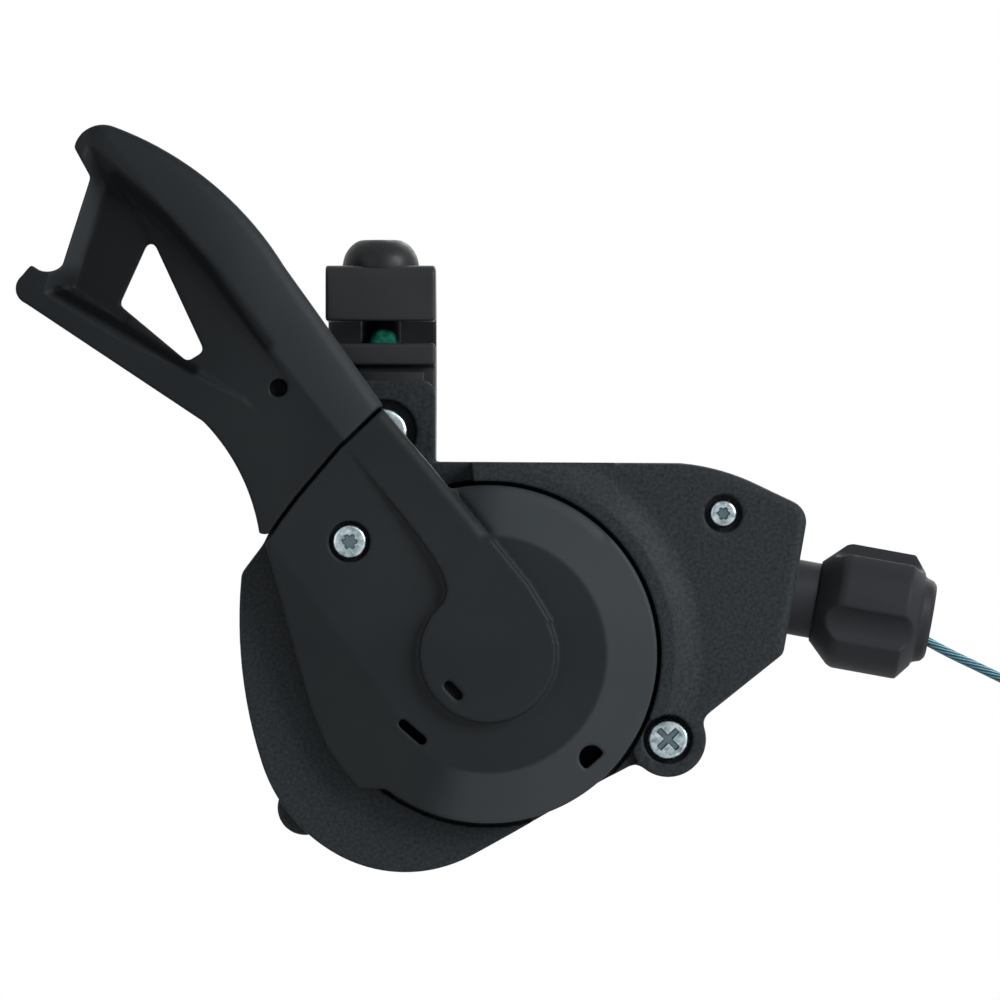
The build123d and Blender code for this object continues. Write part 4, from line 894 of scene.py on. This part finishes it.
# %% [markdown]
# The bolt and the plates have a black oxide. Where the bolt crosses the slit it gets painted
# shade, black but for a smear of green thread-locking paste. Both come from Object
# coordinates, because the bolt's shank has too few vertices there to be painted.

# %% The bolt's steel and its paste
SLIT_LEVELS = (3.5 * MM, 7.6 * MM)
PASTE_MIDDLE = (0.45 * MM, 0, 4.1 * MM)
PASTE_R = 1.85 * MM
PASTE_EDGE = (1.1, 0.8)


def between(finish, low, high):
    """1 where the Object coordinates' height lies between two limits."""
    tree = finish.node_tree
    place = tree.nodes.new("ShaderNodeTexCoord")
    ways = tree.nodes.new("ShaderNodeSeparateXYZ")
    tree.links.new(place.outputs["Object"], ways.inputs["Vector"])
    above = calculate(tree, "GREATER_THAN", ways.outputs["Z"], low)
    below = calculate(tree, "LESS_THAN", ways.outputs["Z"], high)
    return calculate(tree, "MULTIPLY", above, below)


def round_patch(finish, middle, radius):
    """1 inside a circle on the Object coordinates, as seen from the front, with a soft edge."""
    nodes, links = finish.node_tree.nodes, finish.node_tree.links
    place = nodes.new("ShaderNodeTexCoord")
    mapping = nodes.new("ShaderNodeMapping")
    mapping.inputs["Location"].default_value = [-part for part in middle]
    mapping.inputs["Scale"].default_value = (1, 0, 1)
    reach = nodes.new("ShaderNodeVectorMath")
    reach.operation = "LENGTH"
    inside = nodes.new("ShaderNodeMapRange")
    inside.inputs["From Min"].default_value = radius * PASTE_EDGE[0]
    inside.inputs["From Max"].default_value = radius * PASTE_EDGE[1]
    links.new(place.outputs["Object"], mapping.inputs["Vector"])
    links.new(mapping.outputs["Vector"], reach.inputs[0])
    links.new(reach.outputs["Value"], inside.inputs["Value"])
    return inside.outputs["Result"]


def black_steel():
    finish, shader = start_finish("black_steel", (0.008, 0.009, 0.01), 0.4, mirror=0.16)
    fine = grain(finish, 900)
    links = finish.node_tree.links
    links.new(spread(finish, fine, 0.34, 0.5), shader.inputs["Roughness"])
    # Painted shade: the slit's band of heights and the shade attribute turn the oxide black.
    in_slit = between(finish, *SLIT_LEVELS)
    shaded = calculate(finish.node_tree, "MAXIMUM", painted(finish, "shade"), in_slit)
    oxide_and_shade = blend(finish, shaded, (0.008, 0.009, 0.01), SHADOW_BLACK)
    paste = tint(finish, fine, (0.001, 0.012, 0.008), (0.02, 0.2, 0.14))
    smeared = round_patch(finish, PASTE_MIDDLE, PASTE_R)
    links.new(blend(finish, smeared, oxide_and_shade, paste), shader.inputs["Base Color"])
    dull(finish, shader, shaded)
    relief(finish, shader, fine, 0.006, 0.5)
    return finish


keep(black_steel)

# %% [markdown]
# The small screws are zinc plated, bright and a little blue. Plating is blotchy at the scale
# of a fingerprint, and its patches differ in roughness as much as in colour.

# %% The screws' zinc
def zinc_steel():
    finish, shader = start_finish("zinc_steel", (0.5, 0.56, 0.6), 0.28, metallic=1.0)
    fine = grain(finish, 1500, detail=4)
    links = finish.node_tree.links
    plated = tint(finish, fine, (0.14, 0.19, 0.21), (0.46, 0.54, 0.57))
    # The recess faces get painted shade, a darker zinc.
    recess_shaded = blend(finish, painted(finish, "recess"), plated, (0.1, 0.14, 0.155))
    links.new(recess_shaded, shader.inputs["Base Color"])
    links.new(spread(finish, fine, 0.2, 0.4), shader.inputs["Roughness"])
    relief(finish, shader, fine, 0.008, 0.5)
    return finish


keep(zinc_steel)

# %% [markdown]
# The hidden ratchet parts are plain pressed steel with the mill's lines in it, the springs
# bright drawn wire, and the lever's bush is turned brass with fine rings round it.

# %% Hidden metals
def steel():
    finish, shader = start_finish("steel", (0.5, 0.51, 0.53), 0.35, metallic=1.0)
    mill = grain(finish, 700, detail=4, stretch=(1, 1, 0.12))
    links = finish.node_tree.links
    sheet = tint(finish, mill, (0.4, 0.41, 0.43), (0.58, 0.59, 0.61))
    links.new(sheet, shader.inputs["Base Color"])
    links.new(spread(finish, mill, 0.28, 0.46), shader.inputs["Roughness"])
    relief(finish, shader, mill, 0.006, 0.4)
    return finish


def spring_steel():
    finish, shader = start_finish("spring_steel", (0.45, 0.45, 0.47), 0.3, metallic=1.0)
    drawn = grain(finish, 1200)
    finish.node_tree.links.new(spread(finish, drawn, 0.22, 0.38), shader.inputs["Roughness"])
    return finish


def bush_brass():
    finish, shader = start_finish("bush_brass", (0.72, 0.52, 0.24), 0.3, metallic=1.0)
    turned = grain(finish, 900, stretch=(1, 6, 1))
    links = finish.node_tree.links
    brass = tint(finish, turned, (0.62, 0.43, 0.18), (0.76, 0.57, 0.28))
    links.new(brass, shader.inputs["Base Color"])
    links.new(spread(finish, turned, 0.24, 0.4), shader.inputs["Roughness"])
    return finish


for maker in (steel, spring_steel, bush_brass):
    keep(maker)

# %% [markdown]
# The cable's finish reads its UV map. Adding the two ways of the map gives slanted bands, one
# for each outer wire, and a sine rounds every band into a wire. The same wave paints shade
# into the grooves between the wires and leaves their crests paler.

# %% Stranded steel
OUTER_WIRES = 9


def cable_steel():
    finish, shader = start_finish("cable_steel", (0.12, 0.24, 0.29), 0.4, metallic=0.9)
    tree = finish.node_tree
    nodes, links = tree.nodes, tree.links
    strands = nodes.new("ShaderNodeUVMap")
    strands.uv_map = "strands"
    ways = nodes.new("ShaderNodeSeparateXYZ")
    links.new(strands.outputs["UV"], ways.inputs["Vector"])
    slant = calculate(tree, "ADD", ways.outputs["X"], ways.outputs["Y"])
    phase = calculate(tree, "MULTIPLY", slant, 2 * pi * OUTER_WIRES)
    wave = calculate(tree, "SINE", phase)
    wires = nodes.new("ShaderNodeMapRange")
    wires.inputs["From Min"].default_value = -1
    links.new(wave, wires.inputs["Value"])
    height = wires.outputs["Result"]
    # Painted shade: darker in the grooves between the wires, paler on their crests.
    groove_shaded = tint(finish, height, (0.012, 0.038, 0.05), (0.085, 0.18, 0.225))
    links.new(groove_shaded, shader.inputs["Base Color"])
    relief(finish, shader, height, 0.08, 0.8)
    return finish


keep(cable_steel)

# %% [markdown]
# The record of the part says which material each CAD piece has, so the finishes are handed
# out by it. A piece with a finished copy gets its finish there, and any other on the CAD mesh.

# %% Each piece gets its finish
def put_finish(piece, slot_name):
    """One finish all over a piece."""
    piece.data.materials.clear()
    piece.data.materials.append(FINISHES[slot_name])


for subpart in frame["record"]["subparts"]:
    node_name, slot_name = subpart["node"], subpart["material_slot"]
    if node_name in finished:
        put_finish(finished[node_name], slot_name)
    elif node_name not in ("cable_tail", "cable_coil"):
        for material_slot in frame["nodes"][node_name].material_slots:
            material_slot.material = FINISHES[slot_name]
put_finish(free_cable, "cable_steel")
put_finish(joint_step, "lever_plastic")

# %% [markdown]
# The light is a product table's: a large soft box high on the right that draws bright lines
# along the edges that face it, a weaker one on the left, and a low even glow from all round.

# %% Soft boxes
def add_soft_box(name, place, target, size, watts):
    """A square area light aimed at a point."""
    lamp = bpy.data.lights.new(name, "AREA")
    lamp.energy = watts
    lamp.size = size
    holder = bpy.data.objects.new(name, lamp)
    bpy.context.collection.objects.link(holder)
    holder.location = place
    aim = Vector(target) - Vector(place)
    holder.rotation_euler = aim.to_track_quat("-Z", "Y").to_euler()
    return holder


MIDDLE = (15 * MM, -20 * MM, -20 * MM)
SOFT_BOXES = [
    ("right_box", (0.42, -0.32, 0.2), 0.3, 4),
    ("left_box", (-0.6, -0.5, 0.15), 0.6, 1.5),
    ("back_box", (0.25, 0.6, 0.35), 0.5, 2),
]
for name, place, size, watts in SOFT_BOXES:
    add_soft_box(name, place, MIDDLE, size, watts)

print(len(SOFT_BOXES), "soft boxes,", sum(box[3] for box in SOFT_BOXES), "W in all")

# %% [markdown]
# The surroundings could be an image of a studio, but a plain one is enough for a product on
# white. Light Path tells apart who asks: the camera and reflections see white, and all
# other light sees a dim grey, so that black plastic stays black.

# %% Surroundings
SURROUND = 0.33
world = bpy.context.scene.world or bpy.data.worlds.new("studio")
bpy.context.scene.world = world
world.use_nodes = True
nodes, links = world.node_tree.nodes, world.node_tree.links
nodes.clear()


def background(strength):
    """A white background of a strength."""
    plain = nodes.new("ShaderNodeBackground")
    plain.inputs["Color"].default_value = (1, 1, 1, 1)
    plain.inputs["Strength"].default_value = strength
    return plain.outputs[0]


rays = nodes.new("ShaderNodeLightPath").outputs
seen = calculate(world.node_tree, "MAXIMUM", rays["Is Camera Ray"], rays["Is Glossy Ray"])
shown = calculate(world.node_tree, "MAXIMUM", seen, rays["Is Transmission Ray"])
choice = nodes.new("ShaderNodeMixShader")
output = nodes.new("ShaderNodeOutputWorld")
links.new(shown, choice.inputs["Fac"])
links.new(background(SURROUND), choice.inputs[1])
links.new(background(1), choice.inputs[2])
links.new(choice.outputs[0], output.inputs["Surface"])

print("surroundings: white when seen,", SURROUND, "as light")

# %% [markdown]
# A pale matt table stands just under the coil and catches the shadows. The photograph shows
# no table, and from the front it lies below the picture.

# %% Floor
FLOOR_LEVEL = cad_box[0][2] - 1 * MM
bpy.ops.object.select_all(action="DESELECT")
bpy.ops.mesh.primitive_plane_add(size=1.1, location=(0, 0, FLOOR_LEVEL))
floor = bpy.context.object
floor.name = "studio_floor"
bpy.ops.object.transform_apply(location=True)
floor_finish, floor_shader = start_finish("pale_floor", (0.86, 0.86, 0.86), 0.7)
slow = grain(floor_finish, 8)
matt = spread(floor_finish, slow, 0.62, 0.78)
floor_finish.node_tree.links.new(matt, floor_shader.inputs["Roughness"])
floor.data.materials.append(floor_finish)
print("floor at", round(FLOOR_LEVEL / MM, 1), "mm")
